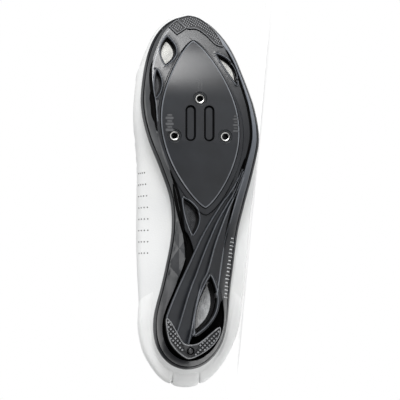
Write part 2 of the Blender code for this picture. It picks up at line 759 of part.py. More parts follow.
def add_turned(name, material, place, profile, steps=20):
    """A turned piece: a profile of radius and height, which runs down its outer side."""
    mesh = bmesh.new()
    verts = [mesh.verts.new((radius, 0, height)) for radius, height in profile]
    for first, second in zip(verts, verts[1:]):
        mesh.edges.new((first, second))
    if profile[0][0] > 0:
        mesh.edges.new((verts[-1], verts[0]))
    piece = add_object(name, mesh, material)
    piece.location = (*place, 0)
    turn = piece.modifiers.new("turn", "SCREW")
    turn.steps = steps
    turn.render_steps = steps
    turn.use_merge_vertices = True
    turn.merge_threshold = 1e-5
    turn.use_smooth_shade = True


def add_fastenings(material):
    """The three cleat nuts and the heel pad's screw."""
    for name, place in bolt_places().items():
        low = platform_height(place[0]) + NUT_RECESS_DEPTH * 0.7
        high = footbed(place[0]) - GAP
        outer = NUT_DIAMETER / 2
        inner = BOLT_DIAMETER / 2
        profile = [(outer, high), (outer, low), (inner, low), (inner, high)]
        add_turned(f"cleat_nut_{name}", material, place, profile)
    place = (SCREW_PLACE[0] * SOLE_LENGTH, SCREW_PLACE[1] * SOLE_WIDTH)
    head = SCREW_DIAMETER / 2
    socket = SCREW_SOCKET_DIAMETER / 2
    top = HEEL_PAD_THICKNESS
    floor = (top + SCREW_RECESS) / 2
    profile = [(0, top), (head, top), (head, SCREW_RECESS), (socket, SCREW_RECESS), (socket, floor),
               (0, floor)]
    add_turned("heel_screw", material, place, profile)


def add_vent_meshes(material):
    """A thin sheet of mesh in each vent, just under the footbed."""
    for name, rows in VENTS.items():
        loop = inset(leaf_loop(rows), GAP)
        relief_solid(f"vent_mesh_{name}", material, [loop],
                     lambda p: footbed(p[:, 0]) - VENT_MESH_DEPTH - VENT_MESH_THICKNESS,
                     lambda p: footbed(p[:, 0]) - VENT_MESH_DEPTH)


def add_insole(material):
    angle = np.linspace(0, 2 * math.pi, RIBS, endpoint=False)
    loop = np.column_stack(sole_ring(angle, RIM_FOOT_WIDTH + WALL + 3 * GAP))
    relief_solid("insole", material, [loop], lambda p: footbed(p[:, 0]) + GAP,
                 lambda p: footbed(p[:, 0]) + GAP + INSOLE_THICKNESS, filled=True)


def add_upper(material):
    """The hollow upper, with a thicker wall round the padded collar."""
    angles = np.linspace(0, 2 * math.pi, RIBS, endpoint=False)
    levels = np.array([0, 1, 1.35, 1.7, 2, 2.2, 2.4, 2.6, 2.8, 3])
    grid = upper_point(angles[:, None], levels[None])
    piece = sheet("upper", material, grid, True, COLLAR_WALL, False)
    group = piece.vertex_groups.new(name="padding")
    thin = WALL / COLLAR_WALL
    for i, angle in enumerate(angles):
        behind = np.clip((0.50 - ring_station(angle)) / 0.12, 0, 1)
        for j, level in enumerate(levels):
            padded = behind * np.clip((level - 2.3) / 0.3, 0, 1) * (1 if level < 3 else 0.5)
            group.add([i * len(levels) + j], thin + (1 - thin) * padded, "REPLACE")
    wall = piece.modifiers["wall"]
    wall.vertex_group = group.name


def add_heel_overlays(material):
    """The counter, one piece each side, and the backstay between them."""
    levels = np.linspace(1.30, 2.60, 8)
    for side, name in ((1, "counter_lateral"), (-1, "counter_medial")):
        grid = []
        for share in np.linspace(0, 1, 9):
            line = []
            for level in levels:
                start = angle_at(level, BACKSTAY_WIDTH / 2 + 2 * GAP, 1)
                cut_back = 0.25 * (level - levels[0]) / (levels[-1] - levels[0])
                end = angle_at(level, COUNTER_LENGTH * (1 - cut_back) + UPPER_START, 0)
                angle = side * (start + share * (end - start))
                line.append(above_upper(angle, level, 1.5 * GAP))
            grid.append(line)
        sheet(name, material, grid if side > 0 else grid[::-1], False, COUNTER_THICKNESS, True)
    grid = []
    for share in np.linspace(-1, 1, 5):
        line = []
        for level in np.linspace(levels[0], 2.97, 10):
            angle = share * angle_at(level, BACKSTAY_WIDTH / 2, 1)
            line.append(above_upper(angle, level, 1.5 * GAP))
        grid.append(line)
    sheet("backstay", material, grid, False, COUNTER_THICKNESS, True)


def opening_at(x):
    """The throat's half width, edge height and the slope of the wall there, at a distance along the shoe."""
    station = np.clip((x - OPENING_START) / OPENING_LENGTH, 0, 1)
    half = 2 * np.sqrt(station * (1 - station)) * SOLE_WIDTH * read(OPENING, "half_width", station)
    slope = np.tan(np.radians(read(OPENING, "angle", station)))
    return half, COLLAR_HEIGHT * read(OPENING, "height", station), slope


def tongue_height(points):
    """The tongue's outer face: arched under the throat's edges and rising free above the collar."""
    x = points[:, 0]
    station = np.clip((x - OPENING_START) / OPENING_LENGTH, 0, 1)
    half, edge, slope = opening_at(x)
    slope = np.minimum(slope, TONGUE_STEEPEST)
    across = np.abs(points[:, 1] - SOLE_WIDTH * read(OPENING, "middle", station))
    bend = TONGUE_ARCH * slope / np.maximum(2 * half, TONGUE_ARCH_SPAN)
    wing = TONGUE_WING_SLOPE * slope * np.maximum(across - half, 0)
    arch = bend * (half**2 - np.minimum(across, half) ** 2) - wing
    beyond = np.maximum(x - OPENING_START - OPENING_LENGTH, 0)
    free = np.clip(1 - (x - TONGUE_START) / TONGUE_FREE_LENGTH, 0, 1)
    clearance = WALL * np.sqrt(1 + slope**2) + 4 * GAP
    drop = math.tan(math.radians(TONGUE_TOE_ANGLE)) * beyond
    return edge - clearance + arch - drop + TONGUE_RISE * free**1.5


def add_tongue(material):
    stations = ring_station(np.linspace(0, math.pi, 15))
    x = TONGUE_START + TONGUE_LENGTH * stations
    half = opening_at(x)[0]
    tucked = np.clip((x - TONGUE_START - TONGUE_FREE_LENGTH) / TONGUE_FREE_LENGTH, 0, 1)
    reach = np.minimum(half, TONGUE_HALF_WIDTH) + TONGUE_UNDERLAP * (1.3 * tucked - 0.3)
    reach *= np.clip(np.sin(math.pi * stations) * 3, 0, 1) ** 0.5
    middle = SOLE_WIDTH * read(OPENING, "middle", (x - OPENING_START) / OPENING_LENGTH)
    left = np.column_stack([x, middle - reach])
    right = np.column_stack([x, middle + reach])
    loop = np.concatenate([left[:-1], right[:0:-1]])
    relief_solid("tongue", material, [loop], lambda p: tongue_height(p) - TONGUE_THICKNESS, tongue_height,
                 filled=True)


def strap_line(x, medial_end, lateral_end, slant):
    """Points across the shoe, from the strap's inner end over the throat to its outer end."""
    medial = []
    for level in np.linspace(medial_end, 3, 9):
        angle = -angle_at(level, x - slant / 2, 0)
        medial.append(above_upper(angle, level, STRAP_GAP))
    lateral = []
    for level in np.linspace(3, lateral_end, 6):
        angle = angle_at(level, x + slant / 2, 0)
        lateral.append(above_upper(angle, level, STRAP_GAP))
    chord = np.linalg.norm(lateral[0] - medial[-1])
    leaving = medial[-1] - medial[-2]
    arriving = lateral[0] - lateral[1]
    leaving *= 0.4 * chord / np.linalg.norm(leaving)
    arriving *= 0.4 * chord / np.linalg.norm(arriving)
    bridge = [
        curve_point(medial[-1], medial[-1] + leaving, lateral[0] + arriving, lateral[0], share)
        for share in (0.2, 0.4, 0.6, 0.8)
    ]
    return [*medial, *bridge, *lateral]


def add_straps(material):
    for i, name in enumerate(STRAP_NAMES):
        row = {column: values[i] for column, values in STRAPS.items()}
        grid = [
            strap_line(row["station"] * SOLE_LENGTH + share * STRAP_WIDTH, row["medial_end"],
                       row["lateral_end"], row["slant"] * STRAP_WIDTH)
            for share in np.linspace(0.5, -0.5, 4)
        ]
        sheet(name, material, grid, False, STRAP_THICKNESS, True)


def solid_balance(piece, depsgraph):
    """A piece's corners, volume and centre, in the standing frame."""
    evaluated = piece.evaluated_get(depsgraph)
    mesh = bmesh.new()
    mesh.from_mesh(evaluated.to_mesh())
    mesh.transform(Matrix.Translation(piece.location))
    bmesh.ops.triangulate(mesh, faces=mesh.faces)
    corners = np.array([[vertex.co[:] for vertex in face.verts] for face in mesh.faces])
    parts = np.einsum("ij,ij->i", corners[:, 0], np.cross(corners[:, 1], corners[:, 2])) / 6
    centre = (parts[:, None] * corners.sum(axis=1) / 4).sum(axis=0) / parts.sum()
    mesh.free()
    evaluated.to_mesh_clear()
    return corners.reshape(-1, 3), abs(parts.sum()), centre


def lay_down(pose, pieces):
    """Turn the shoe onto the flat side of its convex hull on which it rests with its outer side down."""
    depsgraph = bpy.context.evaluated_depsgraph_get()
    points = []
    volumes = []
    centres = []
    for piece in pieces:
        corners, volume, centre = solid_balance(piece, depsgraph)
        points.append(corners)
        volumes.append(volume)
        centres.append(centre)
    points = np.concatenate(points)
    balance = Vector(np.average(centres, axis=0, weights=volumes))
    hull = bmesh.new()
    for point in np.unique(np.round(points, 6), axis=0):
        hull.verts.new(point)
    bmesh.ops.convex_hull(hull, input=hull.verts)
    hull.normal_update()
    outer = [face for face in hull.faces if face.normal.y > RESTING_OUTWARD]
    rest = min(outer, key=lambda face: face.normal.dot(face.verts[0].co - balance))
    up = -rest.normal
    forward = (Vector((1, 0, 0)) - up * up.x).normalized()
    turned = Matrix((forward, up.cross(forward), up))
    hull.free()
    placed = points @ np.array(turned).T
    low = placed.min(axis=0)
    high = placed.max(axis=0)
    shift = Vector((-(low[0] + high[0]) / 2, -(low[1] + high[1]) / 2, -low[2]))
    pose.matrix_world = Matrix.Translation(shift) @ turned.to_4x4()


def main():
    for piece in list(bpy.data.objects):
        bpy.data.objects.remove(piece)
    collection = bpy.data.collections.new("cycling_shoe")
    bpy.context.scene.collection.children.link(collection)
    pose = bpy.data.objects.new("lying_pose", None)
    collection.objects.link(pose)

    black = make_material("sole_black", (0.012, 0.013, 0.015), 0.35)
    rubber = make_material("tread_black", (0.02, 0.02, 0.022), 0.8)
    steel = make_material("nut_steel", (0.6, 0.6, 0.58), 0.3, 1.0)
    net = make_material("vent_mesh_grey", (0.35, 0.35, 0.35), 0.8)
    white = make_material("upper_white", (0.75, 0.76, 0.77), 0.5)
    trim = make_material("overlay_white", (0.8, 0.8, 0.81), 0.4)
    lining = make_material("lining_grey", (0.25, 0.26, 0.28), 0.9)

    add_outsole(black)
    add_pads(rubber)
    add_fastenings(steel)
    add_vent_meshes(net)
    add_insole(lining)
    add_upper(white)
    add_heel_overlays(trim)
    add_tongue(white)
    add_straps(trim)

    bpy.context.view_layer.update()
    pieces = [piece for piece in collection.objects if piece.type == "MESH"]
    lay_down(pose, pieces)


main()
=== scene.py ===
"""The looks of a left cycling shoe that lies on its outer side, seen from straight below the sole.

Each piece is made standing, in metres: +X to the toe, +Y to the outer side, the ground at Z = 0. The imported
record's two flat faces give the turn that lays it down. Tables hold shares of the sizes named beside them.
"""

import json
import math

import bmesh
import bpy
import numpy as np
from mathutils import Matrix, Vector
from mathutils.geometry import delaunay_2d_cdt

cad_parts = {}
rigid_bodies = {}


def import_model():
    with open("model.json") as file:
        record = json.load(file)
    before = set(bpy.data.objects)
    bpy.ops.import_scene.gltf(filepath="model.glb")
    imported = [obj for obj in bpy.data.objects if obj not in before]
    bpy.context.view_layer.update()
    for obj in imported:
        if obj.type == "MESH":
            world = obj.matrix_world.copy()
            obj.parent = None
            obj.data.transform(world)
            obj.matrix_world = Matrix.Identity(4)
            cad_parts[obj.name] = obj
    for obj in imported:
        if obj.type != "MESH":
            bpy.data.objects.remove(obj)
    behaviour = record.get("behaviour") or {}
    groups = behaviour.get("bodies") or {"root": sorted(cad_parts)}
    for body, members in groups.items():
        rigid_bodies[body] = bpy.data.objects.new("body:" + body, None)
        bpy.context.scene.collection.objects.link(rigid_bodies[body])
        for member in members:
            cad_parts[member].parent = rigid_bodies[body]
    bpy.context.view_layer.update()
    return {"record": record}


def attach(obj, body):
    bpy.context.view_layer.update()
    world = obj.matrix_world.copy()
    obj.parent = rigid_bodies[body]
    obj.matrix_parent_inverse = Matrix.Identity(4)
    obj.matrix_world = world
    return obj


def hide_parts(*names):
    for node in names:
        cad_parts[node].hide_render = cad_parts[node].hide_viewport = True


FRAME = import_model()

GAP = 0.0003

# The outsole.
SOLE_LENGTH = 0.256
SOLE_WIDTH = 0.0875
HEEL_HEIGHT = 0.025
RIM_HEIGHT = 0.006
RIM_TOP_WIDTH = 0.0015
RIM_FOOT_WIDTH = 0.0045
LIP_HEIGHT = 0.0025
PLATE_THICKNESS = 0.003
WALL_SLOPE_WIDTH = 0.0007
KNEE_SHARE = 0.62

# Ahead of its start the shoe is drawn out towards the toe, by the reach at the sole's tip.
TOE_START = 0.200
TOE_REACH = 0.0085
TOE_POWER = 1.4

# The cleat platform, its two slots and its three threaded holes.
PLATFORM_LENGTH = 0.120
PLATFORM_WIDTH = 0.057
PLATFORM_FRONT = (0.92575, 0.023)
PLATFORM_REAR_ACROSS = 0.125
PLATFORM_FLAT_REAR = 0.641
PLATFORM_FLAT_LENGTH = 0.033
PLATFORM_REAR_RISE = 0.0067
PLATFORM_FRONT_RISE = 0.0086
CLEAT_AXIS = 0.071
BOLT_REAR = 0.659
BOLT_SPACING_ALONG = 0.0277
BOLT_SPACING_ACROSS = 0.0372
BOLT_DIAMETER = 0.0043
NUT_DIAMETER = 0.007
NUT_RECESS_DIAMETER = 0.0096
NUT_RECESS_DEPTH = 0.001
SLOT_STATION = 0.696
SLOT_LENGTH = 0.026
SLOT_WIDTH = 0.007
SLOT_SPACING = 0.0136
SLOT_DEPTH = 0.0012

# The bars behind the platform, the heel window's frame, the pads and the vents.
BAR_STEP = 0.0038
FRAME_WIDTH = 0.0022
FRAME_STEP = 0.0012
HEEL_PAD_THICKNESS = 0.0031
TOE_PAD_THICKNESS = 0.0016
SCREW_DIAMETER = 0.005
SCREW_SOCKET_DIAMETER = 0.0024
SCREW_RECESS = 0.0012
SCREW_PLACE = (0.0525, -0.005)
VENT_MESH_THICKNESS = 0.001
VENT_MESH_DEPTH = 0.0005

# The upper and what goes with it.
UPPER_LENGTH = 0.271
UPPER_START = -0.0115
COLLAR_HEIGHT = 0.099
OPENING_LENGTH = 0.182
OPENING_START = -0.004
WALL = 0.002
COLLAR_WALL = 0.0055
LASTED_LIFT = 0.0004
INSOLE_THICKNESS = 0.003
TONGUE_THICKNESS = 0.003
TONGUE_START = 0.067
TONGUE_LENGTH = 0.119
TONGUE_UNDERLAP = 0.0065
TONGUE_RISE = 0.030
TONGUE_FREE_LENGTH = 0.028
TONGUE_HALF_WIDTH = 0.02275
TONGUE_ARCH = 0.65
TONGUE_ARCH_SPAN = 0.02625
TONGUE_STEEPEST = 1.05
TONGUE_WING_SLOPE = 1.3
TONGUE_TOE_ANGLE = 9
COUNTER_LENGTH = 0.070
COUNTER_THICKNESS = 0.0012
BACKSTAY_WIDTH = 0.0185
STRAP_WIDTH = 0.020
STRAP_THICKNESS = 0.0016
STRAP_GAP = 0.001

# Where the record's two flat faces lie on the standing shoe.
CLEAT_SEAT = Vector((0.183, 0.0062, 0))
HEEL_TREAD = Vector((0.0165, 0.009, 0))

# How finely the forms are cut.
OUTLINE_POINTS = 560
HOLE_POINTS = 48
LINE_POINTS = 7
FILL_SPACING = 0.0018
PATH_SPACING = 0.0011
PATH_CLEARANCE = 0.00012
SHARP_ANGLE = 38
SOLE_SHARP_ANGLE = 12
UPPER_RIBS = 300

# Fine forms of the sole.
EDGE_RADIUS = 0.0005
PLATFORM_BEVEL = 0.0008
SKIRT_REACH = 0.0024
SKIRT_SHIFT = (-0.0022, 0.0004)
SKIRT_DROP = 0.0012
BAR_FULL_WIDTH = 0.012
CREST_WIDTH = 0.0006
CREST_RISE = 0.0008
WELT_INSET = 0.0020
WELT_WIDTH = 0.0004
WELT_DEPTH = 0.0007
VENT_RIM_AWAY = 0.0009
VENT_RIM_WIDTH = 0.0004
VENT_RIM_RISE = 0.0005
LEAF_POINTS = 40
FACET_LENGTH = 0.022
FACET_WIDTH = 0.015
FACET_DEPTH = 0.0024
GROOVE_DEPTH = 0.0022
GROOVE_SLOPE = 0.0005
GROOVE_TAPER = 0.014
PLATFORM_GROOVE_HALF_WIDTH = 0.0009
# How far a face lies above the base before it gets the painted shade.
PAINTED_SHADE_DEPTH = 0.0014
PAD_SURROUND = 0.003
INNER_LINE = (0.0013, 0.0019)
SLOT_GROOVE_WIDTH = 0.0009
SLOT_GROOVE_DEPTH = 0.0007

# Treads, weave, stitches and holes.
STUD_PITCH = 0.0023
STUD_HEIGHT = 0.0010
STUD_BORDER = 0.0009
AXIS_GAP = 0.00005
SCREW_FIELD = ((-0.0045, 0), (0, 0.0040), (0.0085, 0.0075), (0.0085, -0.0075), (0, -0.0040))
DOT_PITCH = 0.00145
DOT_HEIGHT = 0.0006
WEAVE_GAPS = {"toe_medial": 0.0011, "toe_lateral": 0.0009, "side": 0.0010, "arch": 0.0012, "heel": 0.0022}
THREAD_SPACING = 0.0010
THREAD_DIAMETER = 0.0005
OVERLAY_SEAT = 0.0004
OVERLAY_FADE = 0.012
COUNTER_FADE = 0.020
STITCH_LENGTH = 0.0022
STITCH_PITCH = 0.0030
STITCH_DIAMETER = 0.0006
STITCH_INSET = 0.0022
STITCH_ARCH = np.array([-0.3, 0.5, 0.8, 0.5, -0.3])
HOLE_DIAMETER = 0.0011
HOLE_START = 0.0861
HOLE_ROW_PITCH = 0.00845
HOLE_ROWS = 8
HOLES_IN_ROW = 4
HOLE_LEVELS = (1.585, 1.825)

# The collar: the station that its padding reaches and the blend behind it, the level where the padding
# starts and its rise, and the level where the brim rolls in, its rise and how far it rolls.
COLLAR_REACH = 0.50
COLLAR_BLEND = 0.12
COLLAR_PAD_LOW = 2.3
COLLAR_PAD_RISE = 0.3
BRIM_LOW = 2.92
BRIM_RISE = 0.08
BRIM_ROLL = 0.0007

# The level of the upper where the counters and the backstay start, and how far up from it they reach.
OVERLAY_LOW = 1.30
COUNTER_RISE = 1.30
BACKSTAY_RISE = 1.67

# The lines of the cleat scales and ahead of the front nut, the pale bars on the rim, and the two ends of a
# fine seam between the toe pads and the platform's tip.
LINE_WIDTH = 0.0003
SCALE_START = 0.1728
SCALE_PITCH = 0.0022
SCALE_LINES = 6
SCALE_INNER = 0.0222
SCALE_OUTER = 0.0262
CENTRE_LINES = 0.2063
RIM_BAR_START = 0.0525
RIM_BAR_PITCH = 0.0027
RIM_BAR_INSET = 0.0038
RIM_BARS = 17
TOE_SEAM = ((0.2395, -0.0007), (0.2308, 0.0107))


def table(columns, *rows):
    """Rows of shares under named columns."""
    return dict(zip(columns.split(), np.array(rows, float).T))


# Half widths of the sole's outline, as shares of SOLE_WIDTH, on a rounded ring.
OUTLINE = table(
    "station medial lateral",
    (0.00, 0.620, 0.610),
    (0.07, 0.525, 0.557),
    (0.14, 0.420, 0.483),
    (0.23, 0.277, 0.425),
    (0.30, 0.205, 0.418),
    (0.40, 0.147, 0.430),
    (0.48, 0.160, 0.475),
    (0.57, 0.253, 0.545),
    (0.66, 0.378, 0.617),
    (0.75, 0.479, 0.632),
    (0.85, 0.550, 0.623),
    (0.93, 0.620, 0.637),
    (1.00, 0.700, 0.620),
)

# Width of the sloping rim seen from below, as shares of SOLE_WIDTH.
RIM_BAND = table(
    "station medial lateral",
    (0.00, 0.071, 0.071),
    (0.07, 0.063, 0.057),
    (0.14, 0.066, 0.050),
    (0.20, 0.086, 0.080),
    (0.25, 0.108, 0.116),
    (0.33, 0.137, 0.114),
    (0.40, 0.091, 0.106),
    (0.48, 0.069, 0.103),
    (0.57, 0.066, 0.091),
    (0.66, 0.080, 0.080),
    (0.75, 0.103, 0.069),
    (0.85, 0.057, 0.057),
    (0.93, 0.057, 0.057),
    (1.00, 0.040, 0.040),
)

# Heights of the footbed, of the base below it and of the bars' crests, as shares of HEEL_HEIGHT. The rim's
# height above the footbed is a share of RIM_HEIGHT.
PROFILE = table(
    "station footbed base crest rim",
    (0.00, 1.00, 0.48, 0.12, 1.00),
    (0.10, 0.94, 0.44, 0.14, 1.00),
    (0.20, 0.90, 0.44, 0.26, 0.95),
    (0.30, 0.86, 0.48, 0.32, 0.85),
    (0.40, 0.74, 0.46, 0.29, 0.83),
    (0.50, 0.54, 0.31, 0.22, 0.80),
    (0.60, 0.39, 0.15, 0.15, 0.76),
    (0.70, 0.33, 0.10, 0.10, 0.75),
    (0.80, 0.38, 0.17, 0.10, 0.78),
    (0.90, 0.57, 0.35, 0.10, 0.82),
    (1.00, 0.87, 0.65, 0.10, 0.85),
)

# The upper's widest line: half widths as shares of SOLE_WIDTH, heights as shares of COLLAR_HEIGHT.
WIDEST = table(
    "station medial lateral medial_height lateral_height",
    (0.000, 0.720, 0.660, 0.465, 0.465),
    (0.045, 0.627, 0.627, 0.460, 0.447),
    (0.087, 0.600, 0.608, 0.455, 0.418),
    (0.130, 0.560, 0.598, 0.450, 0.388),
    (0.170, 0.525, 0.580, 0.446, 0.368),
    (0.215, 0.487, 0.565, 0.445, 0.358),
    (0.322, 0.448, 0.545, 0.455, 0.357),
    (0.386, 0.438, 0.541, 0.464, 0.362),
    (0.450, 0.430, 0.546, 0.460, 0.364),
    (0.536, 0.430, 0.578, 0.420, 0.356),
    (0.579, 0.434, 0.600, 0.395, 0.346),
    (0.622, 0.447, 0.618, 0.370, 0.335),
    (0.665, 0.473, 0.633, 0.345, 0.323),
    (0.707, 0.510, 0.649, 0.325, 0.315),
    (0.750, 0.542, 0.655, 0.315, 0.311),
    (0.793, 0.570, 0.655, 0.312, 0.311),
    (0.836, 0.600, 0.656, 0.314, 0.313),
    (0.879, 0.622, 0.658, 0.320, 0.320),
    (0.921, 0.640, 0.653, 0.328, 0.328),
    (0.954, 0.675, 0.635, 0.338, 0.338),
    (1.000, 0.700, 0.640, 0.350, 0.350),
)

# The opening's edge, collar and throat in one: half width and middle as shares of SOLE_WIDTH, height as a
# share of COLLAR_HEIGHT, and the angle at which the wall arrives there, in degrees.
OPENING = table(
    "station half_width middle height angle",
    (0.00, 0.460, 0.017, 1.000, 80),
    (0.10, 0.450, 0.020, 0.980, 80),
    (0.25, 0.420, 0.027, 0.870, 76),
    (0.40, 0.350, 0.026, 0.820, 70),
    (0.50, 0.286, 0.021, 0.845, 62),
    (0.58, 0.233, 0.018, 0.860, 52),
    (0.70, 0.194, 0.021, 0.775, 44),
    (0.85, 0.190, 0.028, 0.665, 32),
    (1.00, 0.183, 0.034, 0.585, 9),
)

# Leaf-shaped vents: two tips and the rise of each side, as shares of SOLE_LENGTH along and SOLE_WIDTH across.
VENTS = {
    name: table("rear_along rear_across front_along front_across outer inner", row)
    for name, row in (
        ("toe_medial", (0.8625, -0.210, 0.9350, -0.197, 0.078, 0.048)),
        ("toe_lateral", (0.8130, 0.388, 0.8920, 0.222, 0.058, 0.004)),
        ("side", (0.7730, -0.293, 0.8465, -0.287, 0.039, 0.012)),
        ("arch", (0.3836, 0.025, 0.4836, -0.056, 0.086, 0.015)),
        ("heel", (0.1010, 0.038, 0.2630, 0.169, 0.110, 0.037)),
    )
}

# Lines on the sole's underside, as shares of SOLE_LENGTH along and SOLE_WIDTH across. Each bar has a steep
# face on one line and slopes away to the next.
BAR_LINES = (
    table("along across", (0.570, 0.441), (0.538, 0.394), (0.497, 0.323), (0.471, 0.265), (0.387, 0.117),
          (0.296, -0.008), (0.226, -0.103), (0.152, -0.190), (0.125, -0.196)),
    table("along across", (0.562, 0.444), (0.500, 0.362), (0.457, 0.290), (0.415, 0.222), (0.330, 0.117),
          (0.268, 0.050), (0.217, -0.008), (0.120, -0.097), (0.095, -0.122)),
    table("along across", (0.554, 0.447), (0.500, 0.384), (0.461, 0.325), (0.403, 0.259), (0.350, 0.205),
          (0.274, 0.143), (0.232, 0.086), (0.125, 0.016), (0.075, -0.019), (0.055, -0.034)),
    table("along across", (0.546, 0.450), (0.486, 0.392), (0.392, 0.315), (0.341, 0.282), (0.274, 0.254),
          (0.212, 0.220), (0.170, 0.160), (0.130, 0.090), (0.098, 0.020)),
)

# The deep recess round the heel, as an outline on the sole's underside.
MOAT = table(
    "along across",
    (0.391, -0.040), (0.328, 0.030), (0.258, 0.010), (0.172, -0.034), (0.094, -0.023), (0.103, 0.034),
    (0.133, 0.149), (0.160, 0.235), (0.178, 0.250), (0.195, 0.290), (0.156, 0.389), (0.039, 0.389),
    (-0.020, 0.000), (0.039, -0.389), (0.156, -0.366), (0.234, -0.297), (0.313, -0.206), (0.359, -0.114),
)

HEEL_PAD = table(
    "along across",
    (0.143, -0.203), (0.111, -0.199), (0.079, -0.174), (0.054, -0.121), (0.036, -0.056), (0.031, -0.008),
    (0.040, 0.063), (0.058, 0.146), (0.081, 0.210), (0.104, 0.240), (0.119, 0.229), (0.093, 0.133),
    (0.075, 0.063), (0.070, -0.008), (0.075, -0.062), (0.097, -0.103), (0.132, -0.162),
)

TOE_PAD_MEDIAL = table(
    "along across",
    (0.963, -0.179), (0.981, -0.115), (0.960, -0.032), (0.943, -0.112),
)

TOE_PAD_LATERAL = table(
    "along across",
    (0.982, -0.103), (0.991, -0.049), (0.993, 0.009), (0.986, 0.086), (0.969, 0.163), (0.948, 0.223),
    (0.920, 0.275), (0.913, 0.270), (0.918, 0.216), (0.930, 0.175), (0.946, 0.122), (0.959, 0.050),
    (0.960, -0.025),
)

# Straps across the throat: station as a share of SOLE_LENGTH, the levels of both ends on the upper, and how
# far the outer end lies ahead, as a share of STRAP_WIDTH.
STRAPS = table(
    "station medial_end lateral_end slant",
    (0.640, 2.12, 2.50, 0.10),
    (0.530, 2.15, 2.52, 0.15),
    (0.430, 2.18, 2.50, 0.30),
)
STRAP_NAMES = ("strap_front", "strap_middle", "strap_top")


def read(rows, column, station):
    """A column's value at a station, on a smooth curve through the rows."""
    stations = rows["station"]
    values = rows[column]
    slopes = np.gradient(values, stations)
    station = np.clip(station, stations[0], stations[-1])
    row = np.clip(np.searchsorted(stations, station, side="right") - 1, 0, len(stations) - 2)
    step = stations[row + 1] - stations[row]
    share = (station - stations[row]) / step
    ease = share * share * (3 - 2 * share)
    leaving = share * (1 - share) ** 2
    arriving = share * share * (share - 1)
    level = values[row] + ease * (values[row + 1] - values[row])
    return level + step * (leaving * slopes[row] + arriving * slopes[row + 1])


def read_side(rows, ending, angle, station):
    """The medial or lateral column's value, by the side that the ring's angle is on."""
    medial = read(rows, "medial" + ending, station)
    lateral = read(rows, "lateral" + ending, station)
    return np.where(np.sin(angle) >= 0, lateral, medial)


def ring_station(angle):
    """Angle 0 is the back of the heel and pi the tip of the toe. The outer side lies between them."""
    return (1 - np.cos(angle)) / 2


def path_of(rows):
    """A table's points in plan, in metres."""
    return np.column_stack([rows["along"] * SOLE_LENGTH, rows["across"] * SOLE_WIDTH])


def footbed(x):
    return HEEL_HEIGHT * read(PROFILE, "footbed", x / SOLE_LENGTH)


def rim_top(x):
    return footbed(x) + RIM_HEIGHT * read(PROFILE, "rim", x / SOLE_LENGTH)


def sole_outline(count=OUTLINE_POINTS):
    angle = np.linspace(0, 2 * math.pi, count, endpoint=False)
    station = ring_station(angle)
    across = np.sin(angle) * SOLE_WIDTH * read_side(OUTLINE, "", angle, station)
    return np.column_stack([SOLE_LENGTH * station, across])


def inset(loop, distance):
    """A closed loop moved inward by a distance, or outward by a negative one."""
    ahead = np.roll(loop, -1, axis=0)
    area = np.sum(loop[:, 0] * ahead[:, 1] - ahead[:, 0] * loop[:, 1])
    tangent = ahead - np.roll(loop, 1, axis=0)
    tangent /= np.linalg.norm(tangent, axis=1)[:, None]
    inward = np.column_stack([-tangent[:, 1], tangent[:, 0]]) * np.sign(area)
    return loop + inward * np.reshape(distance, (-1, 1))


def drawn_out(x):
    """A place along the shoe, moved forward where the toe is drawn out."""
    ahead = np.clip((x - TOE_START) / (SOLE_LENGTH - TOE_START), 0, None)
    return x + TOE_REACH * ahead**TOE_POWER


def eased(share):
    """A share from 0 to 1 that starts and ends softly."""
    share = np.clip(share, 0, 1)
    return share * share * (3 - 2 * share)


def smooth_line(points, closed=False, steps=LINE_POINTS):
    """A smooth curve through a path's points."""
    points = np.asarray(points, float)
    if closed:
        padded = np.concatenate([points[-1:], points, points[:2]])
    else:
        padded = np.concatenate([points[:1], points, points[-1:]])
    share = np.arange(steps)[:, None] / steps
    pieces = []
    for before, start, end, after in zip(padded, padded[1:], padded[2:], padded[3:]):
        leaving = (end - before) / 2
        arriving = (after - start) / 2
        rest = end - start
        pieces.append(start + share * leaving + share**2 * (3 * rest - 2 * leaving - arriving)
                      + share**3 * (leaving + arriving - 2 * rest))
    return np.concatenate(pieces if closed else [*pieces, points[-1:]])


def edge_distance(points, loop):
    """Signed distance to a closed loop for a few points, positive inside it."""
    edge = np.roll(loop, -1, axis=0) - loop
    offset = points[:, None, :] - loop[None]
    share = np.clip((offset * edge).sum(-1) / np.maximum((edge**2).sum(-1), 1e-18), 0, 1)
    distance = np.linalg.norm(offset - share[..., None] * edge, axis=-1).min(axis=1)
    above = offset[..., 1] < 0
    crosses = above != np.roll(above, -1, axis=1)
    rise = np.where(edge[:, 1] == 0, 1, edge[:, 1])
    left_of = offset[..., 0] < offset[..., 1] * edge[:, 0] / rise
    inside = (crosses & left_of).sum(axis=1) % 2 == 1
    return np.where(inside, distance, -distance)


def depth_inside(points, loop, reach=0.016):
    """Each point's distance to a closed loop, positive inside it. Far outside, it stays at -reach."""
    depth = np.full(len(points), -reach)
    near = np.all((points > loop.min(axis=0) - reach) & (points < loop.max(axis=0) + reach), axis=1)
    index = np.flatnonzero(near)
    for start in range(0, len(index), 3000):
        some = index[start:start + 3000]
        depth[some] = edge_distance(points[some], loop)
    return depth


def path_distance(points, path, reach=0.008):
    """Each point's distance to an open path, at most its reach."""
    distance = np.full(len(points), reach)
    near = np.all((points > path.min(axis=0) - reach) & (points < path.max(axis=0) + reach), axis=1)
    index = np.flatnonzero(near)
    start = path[:-1]
    edge = path[1:] - start
    for first in range(0, len(index), 3000):
        some = index[first:first + 3000]
        offset = points[some][:, None, :] - start[None]
        share = np.clip((offset * edge).sum(-1) / np.maximum((edge**2).sum(-1), 1e-18), 0, 1)
        distance[some] = np.linalg.norm(offset - share[..., None] * edge, axis=-1).min(axis=1)
    return distance


